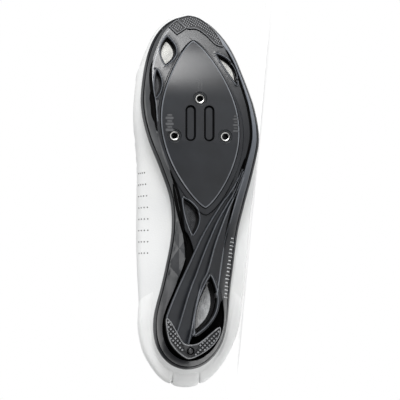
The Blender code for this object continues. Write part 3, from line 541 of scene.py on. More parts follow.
def circle(centre, diameter, count=HOLE_POINTS):
    angle = np.linspace(0, 2 * math.pi, count, endpoint=False)
    return np.asarray(centre) + diameter / 2 * np.column_stack([np.cos(angle), np.sin(angle)])


def slot_loop(centre, length, width, count=14):
    """A slot with round ends, long in X."""
    angle = np.linspace(-math.pi / 2, math.pi / 2, count)
    end = width / 2 * np.column_stack([np.cos(angle), np.sin(angle)]) + ((length - width) / 2, 0)
    return np.asarray(centre) + np.concatenate([end, -end])


def leaf_loop(rows, count=8):
    """A vent's pointed outline: two bowed sides between its tips."""
    rear = np.array([rows["rear_along"][0] * SOLE_LENGTH, rows["rear_across"][0] * SOLE_WIDTH])
    front = np.array([rows["front_along"][0] * SOLE_LENGTH, rows["front_across"][0] * SOLE_WIDTH])
    share = np.linspace(0, 1, count)[:, None]
    bow = 4 * share * (1 - share) * SOLE_WIDTH
    axis = (front - rear) / np.linalg.norm(front - rear)
    sideways = np.array([-axis[1], axis[0]])
    chord = rear + share * (front - rear)
    outer = chord + bow * rows["outer"] * sideways
    inner = chord - bow * rows["inner"] * sideways
    return np.concatenate([inner[:-1], outer[:0:-1]])


def platform_loop(count=22):
    """The cleat platform's lens-shaped outline."""
    front = np.array([PLATFORM_FRONT[0] * SOLE_LENGTH, PLATFORM_FRONT[1] * SOLE_WIDTH])
    rear = np.array([front[0] - PLATFORM_LENGTH, PLATFORM_REAR_ACROSS * SOLE_WIDTH])
    share = ring_station(np.linspace(0, math.pi, count))[:, None]
    middle = rear + share * (front - rear)
    half = np.column_stack([np.zeros(count), PLATFORM_WIDTH / 2 * np.sin(math.pi * share) ** 0.75])
    return np.concatenate([(middle - half)[:-1], (middle + half)[:0:-1]])


def platform_height(x):
    """Flat under the ball of the foot, sloping up behind it and curving up to the toe."""
    flat_rear = PLATFORM_FLAT_REAR * SOLE_LENGTH
    flat_front = flat_rear + PLATFORM_FLAT_LENGTH
    front = PLATFORM_FRONT[0] * SOLE_LENGTH
    rear = front - PLATFORM_LENGTH
    behind = np.clip((flat_rear - x) / (flat_rear - rear), 0, None)
    ahead = np.clip((x - flat_front) / (front - flat_front), 0, None)
    return PLATFORM_REAR_RISE * behind + PLATFORM_FRONT_RISE * ahead**2


def bolt_places():
    """Centres of the three threaded holes, in plan."""
    rear = BOLT_REAR * SOLE_LENGTH
    axis = CLEAT_AXIS * SOLE_WIDTH
    return {
        "front": (rear + BOLT_SPACING_ALONG, axis),
        "medial": (rear, axis - BOLT_SPACING_ACROSS / 2),
        "lateral": (rear, axis + BOLT_SPACING_ACROSS / 2),
    }


def slot_loops():
    axis = CLEAT_AXIS * SOLE_WIDTH
    centres = [(SLOT_STATION * SOLE_LENGTH, axis + side * SLOT_SPACING / 2) for side in (-1, 1)]
    return [slot_loop(centre, SLOT_LENGTH, SLOT_WIDTH) for centre in centres]


def stepped(height, new, points, loop, width=WALL_SLOPE_WIDTH):
    """The height changed to a new one inside a loop, with a soft wall round it."""
    share = eased(1 + depth_inside(points, loop) / width)
    return height + share * (new - height)


def bar_lines():
    return [smooth_line(path_of(rows)) for rows in BAR_LINES]


def bar_height(points, first, second):
    """From the crest on the first line, down by a step to the second, with a thin ridge on the crest."""
    x = points[:, 0]
    near, far = (np.interp(x, line[::-1, 0], line[::-1, 1]) for line in (first, second))
    share = np.clip((points[:, 1] - near) / np.maximum(far - near, GAP), 0, 1)
    step = BAR_STEP * np.clip((far - near) / BAR_FULL_WIDTH, 0.3, 1)
    ridge = CREST_RISE * np.exp(-((path_distance(points, first) / CREST_WIDTH) ** 2))
    return HEEL_HEIGHT * read(PROFILE, "crest", x / SOLE_LENGTH) + step * share - ridge


def rim_inner_loop(outline):
    """Where the sloping rim meets the base, seen from below."""
    station = outline[:, 0] / SOLE_LENGTH
    angle = np.where(outline[:, 1] >= 0, math.pi / 2, -math.pi / 2)
    return inset(outline, SOLE_WIDTH * read_side(RIM_BAND, "", angle, station))


def facets(points):
    """Shallow folded faces on the arch's rim, on the inner side."""
    along = points[:, 0] / FACET_LENGTH
    across = points[:, 1] / FACET_WIDTH
    folds = [np.abs(2 * ((along + sign * across) % 1) - 1) for sign in (-1, 1)]
    station = points[:, 0] / SOLE_LENGTH
    place = eased((station - 0.25) / 0.03) * eased((0.50 - station) / 0.04) * (points[:, 1] < 0)
    return FACET_DEPTH * np.minimum(*folds) * place


def facet_folds(inner):
    """The lines along which the arch's rim is folded."""
    across = np.linspace(-0.45, -0.05, 60) * SOLE_WIDTH
    lines = [np.column_stack([FACET_LENGTH * (k / 2 - sign * across / FACET_WIDTH), across])
             for k in range(18) for sign in (-1, 1)]
    lines += [np.column_stack([np.full(60, FACET_LENGTH * k / 2), across]) for k in range(5, 12)]
    along = np.linspace(0.25, 0.5, 60) * SOLE_LENGTH
    lines += [np.column_stack([along, np.full(60, FACET_WIDTH * k / 2)]) for k in range(-5, 0)]
    kept = []
    for line in lines:
        station = line[:, 0] / SOLE_LENGTH
        line = line[(station > 0.25) & (station < 0.5)]
        if len(line) > 2:
            line = line[depth_inside(line, inner) < -0.0006]
        if len(line) > 2:
            kept.append(line)
    return kept


def rim_height(points, base, to_edge, to_base):
    """The rim's lower face: a gentle slope up from the base, then a steep one to the rounded lip."""
    share = to_base / np.maximum(to_base + to_edge, 1e-9)
    knee = footbed(points[:, 0]) - PLATE_THICKNESS * 0.75
    lip = rim_top(points[:, 0]) - LIP_HEIGHT
    gentle = base + (knee - base) * (np.clip(share / KNEE_SHARE, 0, 1)) ** 1.3
    steep = knee + (lip - knee) * np.clip((share - KNEE_SHARE) / (1 - KNEE_SHARE), 0, 1)
    height = np.where(share < KNEE_SHARE, gentle, steep)
    height += facets(points) * eased(share / 0.15) * eased((0.75 - share) / 0.1)
    height += WELT_DEPTH * np.exp(-(((to_edge - WELT_INSET) / WELT_WIDTH) ** 2))
    rounding = np.clip(1 - to_edge / EDGE_RADIUS, 0, 1)
    return height + EDGE_RADIUS * (1 - np.sqrt(1 - rounding**2))


def platform_skirt():
    """The lower step that shows behind and beside the platform."""
    return inset(platform_loop(60), -SKIRT_REACH) + SKIRT_SHIFT


def rim_grooves():
    """Grooves where the rim meets the base, as paths with half widths. Their faces get the painted shade."""
    inner = rim_inner_loop(sole_outline())
    station = inner[:, 0] / SOLE_LENGTH
    grooves = []
    for side, start, end, half_width, shift in zip(*RIM_GROOVES.values()):
        path = inner[(inner[:, 1] * side > 0) & (station > start) & (station < end)]
        grooves.append((path[np.argsort(path[:, 0])] + (0, shift * side), half_width))
    grooves.append((smooth_line(path_of(PLATFORM_GROOVE)), PLATFORM_GROOVE_HALF_WIDTH))
    return grooves


def groove_taper(x, path):
    """How wide a groove still is at a place: it narrows to a point at both ends."""
    low, high = path[:, 0].min(), path[:, 0].max()
    reach = min(GROOVE_TAPER, 0.3 * (high - low))
    return eased((x - low) / reach) * eased((high - x) / reach)


def groove_share(points, path, half_width):
    """How far a point lies down a groove, from 0 to 1."""
    taper = groove_taper(points[:, 0], path)
    slope = (half_width * taper - path_distance(points, path)) / GROOVE_SLOPE
    return eased(1 + slope) * np.minimum(1, 3 * taper)


# Grooves where the rim meets the base: side, first and last station, half width and shift, in metres.
RIM_GROOVES = table(
    "side from to half_width shift",
    (1, 0.33, 0.92, 0.0007, 0),
    (1, 0.47, 0.61, 0.0008, -0.0012),
    (-1, 0.66, 0.88, 0.0007, 0),
    (-1, 0.69, 0.80, 0.0016, 0.0006),
    (-1, 0.30, 0.58, 0.0006, 0),
)

# The groove from the platform's inner side to the arch.
PLATFORM_GROOVE = table("along across", (0.537, -0.150), (0.480, -0.118), (0.410, -0.066), (0.345, -0.004))


def sole_underside(points):
    """Height of the outsole's lower face."""
    outline = sole_outline()
    x = points[:, 0]
    bed = footbed(x)
    base = HEEL_HEIGHT * read(PROFILE, "base", x / SOLE_LENGTH)
    height = stepped(base, bed - PLATE_THICKNESS, points, smooth_line(path_of(MOAT), True))
    lines = bar_lines()
    for first, second in zip(lines, lines[1:]):
        loop = np.concatenate([first, second[::-1]])
        height = stepped(height, bar_height(points, first, second), points, loop)
    to_inner = depth_inside(points, rim_inner_loop(outline))
    to_edge = np.maximum(depth_inside(points, outline), 0)
    rim = eased(1 - to_inner / WALL_SLOPE_WIDTH)
    height = height + rim * (rim_height(points, base, to_edge, np.maximum(-to_inner, 0)) - height)
    for path, half_width in rim_grooves():
        share = groove_share(points, path, half_width)
        floor = np.minimum(height + GROOVE_DEPTH, bed - PLATE_THICKNESS / 2)
        height = height + share * np.maximum(floor - height, 0)
    crest = HEEL_HEIGHT * read(PROFILE, "crest", x / SOLE_LENGTH)
    for name, rows in VENTS.items():
        depth = depth_inside(points, leaf_loop(rows, LEAF_POINTS))
        if name == "heel":
            share = eased(1 + (depth + FRAME_WIDTH) / WALL_SLOPE_WIDTH)
            height = height + share * (crest + FRAME_STEP - height)
        height = height - VENT_RIM_RISE * np.exp(-(((depth + VENT_RIM_AWAY) / VENT_RIM_WIDTH) ** 2))
    height = stepped(height, HEEL_PAD_THICKNESS + GAP, points, heel_pad_loop())
    flat = platform_height(x)
    height = stepped(height, np.minimum(flat + SKIRT_DROP, height), points, platform_skirt())
    depth = depth_inside(points, platform_loop(60))
    bevel = PLATFORM_BEVEL * 0.6 * (1 - eased(depth / PLATFORM_BEVEL))
    height = height + eased(1 + depth / WALL_SLOPE_WIDTH) * (flat + bevel - height)
    for loop in slot_loops():
        deeper = SLOT_GROOVE_DEPTH * (1 - eased(depth_inside(points, loop) / SLOT_GROOVE_WIDTH - 0.4))
        height = stepped(height, flat + SLOT_DEPTH + deeper, points, loop, 0.0004)
    for place in bolt_places().values():
        recess = circle(place, NUT_RECESS_DIAMETER)
        height = stepped(height, flat + NUT_RECESS_DEPTH, points, recess, 0.0004)
    return height


def sole_top(points):
    """Height of the outsole's upper face: the footbed in its cupped rim."""
    depth = depth_inside(points, sole_outline())
    share = np.clip((depth - RIM_TOP_WIDTH) / (RIM_FOOT_WIDTH - RIM_TOP_WIDTH), 0, 1)
    rounding = EDGE_RADIUS * (1 - np.sqrt(1 - np.clip(1 - depth / EDGE_RADIUS, 0, 1) ** 2))
    bed = footbed(points[:, 0])
    return (rim_top(points[:, 0]) - rounding) * (1 - share) + bed * share


def heel_pad_loop():
    return smooth_line(path_of(HEEL_PAD), True, 5)


def toe_pad_loop(rows):
    """A toe pad's outline: a long one curves, a short one has straight sides."""
    path = path_of(rows)
    return smooth_line(path, True, 6) if len(path) > 6 else sampled(closed_path(path))[:-1]


def closed_path(loop):
    return np.concatenate([loop, loop[:1]])


def sampled(path, spacing=PATH_SPACING):
    """A path with points added so that none lie further apart than the spacing."""
    pieces = []
    for start, end in zip(path[:-1], path[1:]):
        count = max(1, math.ceil(np.linalg.norm(end - start) / spacing))
        pieces.append(start + (end - start) * np.arange(count)[:, None] / count)
    return np.concatenate([*pieces, path[-1:]])


def clear_of(points, loops, margin):
    """Which points lie inside the first loop and outside the others, by at least a margin."""
    clear = depth_inside(points, loops[0]) > margin
    for loop in loops[1:]:
        clear &= depth_inside(points, loop) < -margin
    return clear


def ringed(loop, offsets):
    """A loop, and its copies moved inward or outward, as closed paths."""
    return [closed_path(inset(loop, offset)) for offset in offsets]


def sole_under_paths(outline):
    """The lines along which the underside bends."""
    inner = rim_inner_loop(outline)
    knee = outline + (1 - KNEE_SHARE) * (inner - outline)
    wall = [-step * WALL_SLOPE_WIDTH for step in (0, 0.25, 0.5, 0.75, 1)]
    paths = ringed(outline, (0.00015, 0.0003, EDGE_RADIUS)) + [closed_path(knee)]
    paths += ringed(outline, [WELT_INSET + step * WELT_WIDTH for step in (-1.5, -0.7, 0, 0.7, 1.5)])
    paths += ringed(inner, [-step for step in wall])
    paths += ringed(inner, INNER_LINE)
    paths += facet_folds(inner)
    for path, half_width in rim_grooves():
        tangent = np.gradient(path, axis=0)
        tangent /= np.linalg.norm(tangent, axis=1)[:, None]
        normal = np.column_stack([-tangent[:, 1], tangent[:, 0]])
        width = half_width * groove_taper(path[:, 0], path)[:, None]
        for step in (0, GROOVE_SLOPE / 2, GROOVE_SLOPE):
            paths += [path + normal * (width + step), path - normal * (width + step)]
    rim = [step * VENT_RIM_WIDTH - VENT_RIM_AWAY for step in (-1.2, -0.6, 0, 0.6)]
    for rows in VENTS.values():
        paths += ringed(leaf_loop(rows, LEAF_POINTS), rim)
    loops = [smooth_line(path_of(MOAT), True), inset(leaf_loop(VENTS["heel"], 40), -FRAME_WIDTH)]
    loops += [heel_pad_loop(), platform_skirt()]
    for loop in loops:
        paths += ringed(loop, wall)
    paths += ringed(platform_loop(60), [*wall, PLATFORM_BEVEL / 2, PLATFORM_BEVEL])
    for line in bar_lines():
        for step in (-0.0014, *wall, 0.0003, 0.0006, 0.0009, 0.0014):
            paths.append(line + (0, step))
    for loop in slot_loops():
        paths += ringed(loop, (-0.0004, -0.0002, 0, 0.0004, 0.0008, 0.0012))
    for place in bolt_places().values():
        paths += ringed(circle(place, NUT_RECESS_DIAMETER), (-0.0004, -0.0002, 0, 0.0003))
    return paths


def fill_points(loops, taken, spacing):
    """A loose triangular grid of points, away from all others."""
    low = loops[0].min(axis=0)
    high = loops[0].max(axis=0)
    rows = np.arange(low[1], high[1], spacing * 0.866)
    columns = np.arange(low[0], high[0], spacing)
    across, along = np.meshgrid(rows, columns, indexing="ij")
    along = along + (np.arange(len(rows)) % 2)[:, None] * spacing / 2
    grid = np.column_stack([along.ravel(), across.ravel()])
    cells = {tuple(cell) for cell in np.floor(taken / (spacing * 0.75)).astype(int)}
    free = [tuple(cell) not in cells for cell in np.floor(grid / (spacing * 0.75)).astype(int)]
    grid = grid[np.array(free)]
    return grid[clear_of(grid, loops, spacing * 0.4)]


def triangulated(loops, paths, spacing):
    """Points and triangles of the area inside the first loop and outside the others, bent along the paths."""
    chunks = list(loops)
    edges = []
    count = 0
    for loop in loops:
        edges += [(count + i, count + (i + 1) % len(loop)) for i in range(len(loop))]
        count += len(loop)
    if len(paths):
        pieces = [sampled(path) for path in paths]
        number = np.repeat(np.arange(len(pieces)), [len(points) for points in pieces])
        points = np.concatenate(pieces)
        clear = clear_of(points, loops, PATH_CLEARANCE)
        clear[1:] &= (number[1:] != number[:-1]) | clear_of((points[1:] + points[:-1]) / 2, loops, 0)
        kept = np.flatnonzero(clear)
        joined = np.flatnonzero((np.diff(kept) == 1) & (np.diff(number[kept]) == 0))
        edges += [(count + i, count + i + 1) for i in joined.tolist()]
        chunks.append(points[kept])
    chunks.append(fill_points(loops, np.concatenate(chunks), spacing))
    everything = np.concatenate(chunks)
    found, _, faces, _, _, _ = delaunay_2d_cdt([Vector(point) for point in everything], edges, [], 0, 1e-6)
    found = np.array([tuple(point) for point in found])
    faces = np.array([face for face in faces if len(face) == 3])
    inside = clear_of(found[faces].mean(axis=1), loops, 0)
    return found, faces[inside]


def relief_piece(name, loops, lower, upper, lower_paths=(), upper_paths=(), spacing=0.003, fine=None):
    """A closed piece between two heights over an outline with holes. Both faces share the same borders."""
    low_points, low_faces = triangulated(loops, lower_paths, fine or spacing)
    top_points, top_faces = triangulated(loops, upper_paths, spacing)
    low = np.column_stack([low_points, lower(low_points)])
    top = np.column_stack([top_points, upper(top_points)])
    at_place = {tuple(np.round(point, 6)): i + len(low) for i, point in enumerate(top_points)}
    faces = [tuple(face[::-1]) for face in low_faces.tolist()]
    faces += [tuple(i + len(low) for i in face) for face in top_faces.tolist()]
    sides = {}
    for face in low_faces.tolist():
        for start, end in zip(face, face[1:] + face[:1]):
            sides[start, end] = 1
    for start, end in sides:
        if (end, start) not in sides:
            above = [at_place.get(tuple(np.round(low_points[i], 6))) for i in (start, end)]
            if None not in above:
                faces.append((start, end, above[1], above[0]))
    return add_mesh(name, np.concatenate([low, top]), faces)


def add_mesh(name, points, faces, smooth=True):
    """A named object from points and faces, in the lying pose, riding on the shoe's one body."""
    points = np.array(points, float)
    points[:, 0] = drawn_out(points[:, 0])
    data = bpy.data.meshes.new(name)
    data.from_pydata(points.tolist(), [], faces)
    data.validate()
    mesh = bmesh.new()
    mesh.from_mesh(data)
    bmesh.ops.delete(mesh, geom=[v for v in mesh.verts if not v.link_faces], context="VERTS")
    bmesh.ops.recalc_face_normals(mesh, faces=mesh.faces)
    mesh.to_mesh(data)
    mesh.free()
    if smooth:
        data.shade_smooth()
        data.set_sharp_from_angle(angle=math.radians(SHARP_ANGLE))
    piece = bpy.data.objects.new(name, data)
    bpy.context.scene.collection.objects.link(piece)
    piece.matrix_world = LYING
    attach(piece, "root")
    return piece


def basis(forward, up):
    forward = (forward - up * forward.dot(up)).normalized()
    return Matrix((forward, up.cross(forward), up)).transposed()


def lying_pose():
    """The turn from the standing shoe to the lying one, from the two flat faces under the sole."""
    places = {mount["name"]: Vector(mount["pos_m"]) for mount in FRAME["record"]["mounts"]}
    up = -Vector(FRAME["record"]["mounts"][0]["axis"]).normalized()
    standing = basis(CLEAT_SEAT - HEEL_TREAD, Vector((0, 0, 1)))
    lying = basis(places["cleat_seat"] - places["heel_tread"], up)
    turn = lying @ standing.transposed()
    return Matrix.Translation(places["cleat_seat"] - turn @ CLEAT_SEAT) @ turn.to_4x4()


LYING = lying_pose()


def curve_point(start, leaving, arriving, end, share):
    """A point on a cubic curve with two handles."""
    rest = 1 - share
    near = rest**3 * start + 3 * rest**2 * share * leaving
    return near + 3 * rest * share**2 * arriving + share**3 * end


def opening_edge(angle):
    station = ring_station(angle)
    half = np.sin(angle) * SOLE_WIDTH * read(OPENING, "half_width", station)
    return np.stack(
        [
            OPENING_START + OPENING_LENGTH * station,
            half + SOLE_WIDTH * read(OPENING, "middle", station),
            COLLAR_HEIGHT * read(OPENING, "height", station),
        ],
        axis=-1,
    )


def widest_line(angle):
    station = ring_station(angle)
    return np.stack(
        [
            UPPER_START + UPPER_LENGTH * station,
            np.sin(angle) * SOLE_WIDTH * read_side(WIDEST, "", angle, station),
            COLLAR_HEIGHT * read_side(WIDEST, "_height", angle, station),
        ],
        axis=-1,
    )


def sole_ring(angle, distance):
    """Points inside the sole's outline by a distance, in plan."""
    step = 1e-3
    station = ring_station(angle)
    across = np.sin(angle) * SOLE_WIDTH * read_side(OUTLINE, "", angle, station)
    ahead = ring_station(angle + step)
    across_ahead = np.sin(angle + step) * SOLE_WIDTH * read_side(OUTLINE, "", angle + step, ahead)
    tangent = np.stack([(ahead - station) * SOLE_LENGTH, across_ahead - across], axis=-1)
    tangent /= np.linalg.norm(tangent, axis=-1, keepdims=True)
    x = station * SOLE_LENGTH + tangent[..., 1] * distance
    return x, across - tangent[..., 0] * distance


def upper_point(angle, level):
    """A point on the upper's outer face. Level 0 is its lasted edge, 1 the rim's top, 2 its widest line and 3
    the edge of the opening."""
    angle, level = np.broadcast_arrays(np.asarray(angle, float), np.asarray(level, float))
    x, y = sole_ring(angle, RIM_FOOT_WIDTH + GAP)
    lasted = np.stack([x, y, footbed(x) + LASTED_LIFT], axis=-1)
    x, y = sole_ring(angle, RIM_TOP_WIDTH + 2 * GAP)
    rim = np.stack([x, y, rim_top(x) + 2 * GAP], axis=-1)
    widest = widest_line(angle)
    edge = opening_edge(angle)
    up = np.array([0, 0, 1.0])
    to_widest = widest - rim
    reach = np.linalg.norm(to_widest, axis=-1, keepdims=True)
    rise = edge[..., 2:] - widest[..., 2:]
    inward = (edge - widest) * (1, 1, 0)
    inward /= np.linalg.norm(inward, axis=-1, keepdims=True)
    arrival = np.radians(read(OPENING, "angle", ring_station(angle)))[..., None]
    arriving = inward * np.cos(arrival) + up * np.sin(arrival)
    length = 0.4 * np.linalg.norm(edge - widest, axis=-1, keepdims=True)
    share = level[..., None]
    low = lasted + (rim - lasted) * share
    middle = curve_point(
        rim, rim + 0.25 * to_widest + 0.15 * reach * up, widest - 0.4 * reach * up, widest, share - 1
    )
    high = curve_point(widest, widest + 0.6 * rise * up, edge - length * arriving, edge, share - 2)
    return np.where(share < 1, low, np.where(share < 2, middle, high))


def upper_normal(angle, level):
    """The outward direction of the upper's outer face."""
    step = 1e-3
    level = np.clip(level, step, 3 - step)
    along = upper_point(angle + step, level) - upper_point(angle - step, level)
    upward = upper_point(angle, level + step) - upper_point(angle, level - step)
    normal = np.cross(upward, along)
    return normal / np.linalg.norm(normal, axis=-1, keepdims=True)


def above_upper(angle, level, distance):
    return upper_point(angle, level) + distance * upper_normal(angle, level)


def angles_at(levels, targets, axis):
    """Ring angles on the outer side where the upper reaches distances along X, or across it for axis 1.
    Targets have a column for each level."""
    ring = np.linspace(0, math.pi if axis == 0 else math.pi / 4, 400)
    reached = upper_point(ring[:, None], levels[None])[..., axis]
    return np.column_stack([np.interp(targets[:, i], reached[:, i], ring) for i in range(len(levels))])


def opening_at(x):
    """The throat's half width, edge height and the slope of the wall there, at a distance along the shoe."""
    station = np.clip((x - OPENING_START) / OPENING_LENGTH, 0, 1)
    half = 2 * np.sqrt(station * (1 - station)) * SOLE_WIDTH * read(OPENING, "half_width", station)
    slope = np.tan(np.radians(read(OPENING, "angle", station)))
    return half, COLLAR_HEIGHT * read(OPENING, "height", station), slope


def tongue_height(points):
    """The tongue's outer face: arched under the throat's edges and rising free above the collar."""
    x = points[:, 0]
    station = np.clip((x - OPENING_START) / OPENING_LENGTH, 0, 1)
    half, edge, slope = opening_at(x)
    slope = np.minimum(slope, TONGUE_STEEPEST)
    across = np.abs(points[:, 1] - SOLE_WIDTH * read(OPENING, "middle", station))
    bend = TONGUE_ARCH * slope / np.maximum(2 * half, TONGUE_ARCH_SPAN)
    wing = TONGUE_WING_SLOPE * slope * np.maximum(across - half, 0)
    arch = bend * (half**2 - np.minimum(across, half) ** 2) - wing
    beyond = np.maximum(x - OPENING_START - OPENING_LENGTH, 0)
    free = np.clip(1 - (x - TONGUE_START) / TONGUE_FREE_LENGTH, 0, 1)
    clearance = WALL * np.sqrt(1 + slope**2) + 4 * GAP
    drop = math.tan(math.radians(TONGUE_TOE_ANGLE)) * beyond
    return edge - clearance + arch - drop + TONGUE_RISE * free**1.5


def strap_grid(station, medial_end, lateral_end, slant, rows=20):
    """Points over a strap: rows along its width, and columns from its inner end to its outer end."""
    x = station * SOLE_LENGTH + (0.5 - crowded(rows, 0.75)) * STRAP_WIDTH
    lean = slant * STRAP_WIDTH / 2
    inner = np.linspace(medial_end, 3, 9)
    outer = np.linspace(3, lateral_end, 6)
    gap = (GAP + STRAP_GAP * eased((inner - medial_end) / 0.3))[None, :, None]
    medial = above_upper(-angles_at(inner, np.tile(x[:, None] - lean, 9), 0), inner[None], gap)
    lateral = above_upper(angles_at(outer, np.tile(x[:, None] + lean, 6), 0), outer[None], STRAP_GAP)
    chord = np.linalg.norm(lateral[:, :1] - medial[:, -1:], axis=-1, keepdims=True)
    leaving = medial[:, -1:] - medial[:, -2:-1]
    arriving = lateral[:, :1] - lateral[:, 1:2]
    leaving *= 0.4 * chord / np.linalg.norm(leaving, axis=-1, keepdims=True)
    arriving *= 0.4 * chord / np.linalg.norm(arriving, axis=-1, keepdims=True)
    share = np.array([0.2, 0.4, 0.6, 0.8])[None, :, None]
    start = medial[:, -1:]
    end = lateral[:, :1]
    bridge = curve_point(start, start + leaving, end + arriving, end, share)
    lines = np.concatenate([medial, bridge, lateral], axis=1)
    return np.array([resampled(smooth_line(line, False, 8), 90) for line in lines])


def finish(piece, material, slot, *nodes):
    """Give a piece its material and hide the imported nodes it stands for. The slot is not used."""
    piece.data.materials.append(material)
    if nodes:
        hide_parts(*nodes)
    return piece


def tubes(paths, diameter, sides=6, flat=1.0):
    """Points and faces of round threads along paths of points. Flat squeezes them along Z."""
    points = []
    faces = []
    angles = np.linspace(0, 2 * math.pi, sides, endpoint=False)
    for path in paths:
        path = np.asarray(path)
        tangent = np.gradient(path, axis=0)
        tangent /= np.linalg.norm(tangent, axis=1)[:, None]
        side = np.cross(tangent, (0, 0, 1.0))
        side /= np.maximum(np.linalg.norm(side, axis=1), 1e-9)[:, None]
        up = np.cross(side, tangent) * flat
        taper = np.ones(len(path))
        taper[[0, -1]] = 0.35
        start = len(points)
        for i in range(len(path)):
            for angle in angles:
                ray = math.cos(angle) * side[i] + math.sin(angle) * up[i]
                points.append(path[i] + diameter / 2 * taper[i] * ray)
        for i in range(len(path) - 1):
            for j in range(sides):
                a = start + i * sides + j
                b = start + i * sides + (j + 1) % sides
                faces.append((a, b, b + sides, a + sides))
        faces.append(tuple(start + j for j in reversed(range(sides))))
        faces.append(tuple(start + (len(path) - 1) * sides + j for j in range(sides)))
    return np.array(points), faces


def weave_loop(name):
    """The woven sheet's outline in a vent: a gap to the wall, wider towards the toe and the outer side, where
    the backing's painted shade shows.
    """
    gap = WEAVE_GAPS[name]
    return inset(leaf_loop(VENTS[name], 30), gap) - (gap / 2, gap / 2)


def vent_weave(name, loop, slant):
    """A woven sheet in a vent: threads in two directions that pass over and under."""
    centre = loop.mean(axis=0)
    reach = np.linalg.norm(loop - centre, axis=1).max()
    paths = []
    for way, angle in enumerate((slant, slant + 90)):
        along = np.array([math.cos(math.radians(angle)), math.sin(math.radians(angle))])
        across = np.array([-along[1], along[0]])
        for i in range(-int(reach / THREAD_SPACING), int(reach / THREAD_SPACING) + 1):
            steps = np.arange(-reach, reach, THREAD_SPACING / 3)
            flat = centre + i * THREAD_SPACING * across + steps[:, None] * along
            wave = np.cos(math.pi * (steps / THREAD_SPACING + i + way)) * THREAD_DIAMETER * 0.45
            inside = depth_inside(flat, loop) > 0
            height = footbed(flat[:, 0]) - VENT_MESH_DEPTH - VENT_MESH_THICKNESS + THREAD_DIAMETER + wave
            line = np.column_stack([flat, height])
            cuts = np.flatnonzero(np.diff(inside.astype(int))) + 1
            for part in np.split(np.arange(len(steps)), cuts):
                if inside[part[0]] and len(part) > 2:
                    paths.append(line[part])
    points, faces = tubes(paths, THREAD_DIAMETER, 5)
    return add_mesh(name, points, faces)


def turned(name, place, profile, steps=48):
    """A turned piece: a closed profile of radius and height."""
    angles = np.linspace(0, 2 * math.pi, steps, endpoint=False)
    points = []
    faces = []
    size = len(profile)
    for angle in angles:
        for radius, height in profile:
            points.append((place[0] + radius * math.cos(angle), place[1] + radius * math.sin(angle), height))
    for i in range(steps):
        for j in range(size):
            a, b = i * size + j, i * size + (j + 1) % size
            c, d = (i + 1) % steps * size + (j + 1) % size, (i + 1) % steps * size + j
            faces.append((a, b, c, d))
    return add_mesh(name, points, faces)


def nut_profile(place):
    """A nut's chamfered ring with a threaded bore."""
    low = platform_height(place[0]) + NUT_RECESS_DEPTH * 0.7
    high = footbed(place[0]) - GAP
    outer = NUT_DIAMETER / 2
    inner = BOLT_DIAMETER / 2
    profile = [(outer, high), (outer, low + 0.0004), (outer - 0.0004, low), (inner + 0.0004, low)]
    for i, height in enumerate(np.arange(low + 0.0003, high - 0.0004, 0.0004)):
        profile.append((inner + (0.00018 if i % 2 else 0), height))
    profile.append((inner, high))
    return profile


def grid_normals(grid):
    """Outward directions of a grid of points."""
    first = np.gradient(grid, axis=0)
    second = np.gradient(grid, axis=1)
    normal = np.cross(second, first)
    return normal / np.maximum(np.linalg.norm(normal, axis=-1, keepdims=True), 1e-12)


def shell_piece(name, outer, inner, closed):
    """A closed wall between two grids of points. A closed one runs round in its first direction."""
    rows, columns = outer.shape[:2]
    points = np.concatenate([outer.reshape(-1, 3), inner.reshape(-1, 3)])
    shift = rows * columns
    faces = []
    for i in range(rows if closed else rows - 1):
        ahead = (i + 1) % rows
        for j in range(columns - 1):
            a, b = i * columns + j, i * columns + j + 1
            c, d = ahead * columns + j + 1, ahead * columns + j
            faces.append((a, b, c, d))
            faces.append((d + shift, c + shift, b + shift, a + shift))
        for j in (0, columns - 1):
            a, b = i * columns + j, ahead * columns + j
            faces.append((a, b, b + shift, a + shift))
    if not closed:
        for i in (0, rows - 1):
            for j in range(columns - 1):
                a, b = i * columns + j, i * columns + j + 1
                faces.append((a, b, b + shift, a + shift))
    return add_mesh(name, points, faces)


def grid_reach(grid, axis):
    """Mean distances along a grid's first or second direction."""
    steps = np.linalg.norm(np.diff(grid, axis=axis), axis=-1).mean(axis=1 - axis)
    return np.concatenate([[0], np.cumsum(steps)])


def slab_piece(name, grid, thickness, outward=1, front_fade=0.0):
    """An overlay of a grid's shape, with its edges rounded off. It thins out towards its first column, and to
    its last row where a front fade is given."""
    normal = grid_normals(grid) * outward
    u = grid_reach(grid, 0)
    v = grid_reach(grid, 1)
    to_edge = np.minimum(np.minimum(u, u[-1] - u)[:, None], np.minimum(v, v[-1] - v)[None])
    rounding = np.clip(1 - to_edge / thickness, 0, 1)
    height = thickness * (0.15 + 0.85 * np.sqrt(1 - rounding**2)) * eased(v / OVERLAY_FADE)
    if front_fade:
        height *= eased((u[-1] - u) / front_fade)[:, None]
    seat = OVERLAY_SEAT * (1 - eased(to_edge / (3 * thickness)))
    lower = grid - normal * seat[..., None]
    return shell_piece(name, lower + normal * height[..., None], lower, False)


def crowded(count, power=0.6):
    """Shares from 0 to 1 that crowd towards both ends."""
    share = np.linspace(-1, 1, count)
    return (np.sign(share) * np.abs(share) ** power + 1) / 2


def along_before(x):
    """The place along the shoe before the toe was drawn out."""
    places = np.linspace(-0.02, SOLE_LENGTH + 0.02, 600)
    return np.interp(x, drawn_out(places), places)


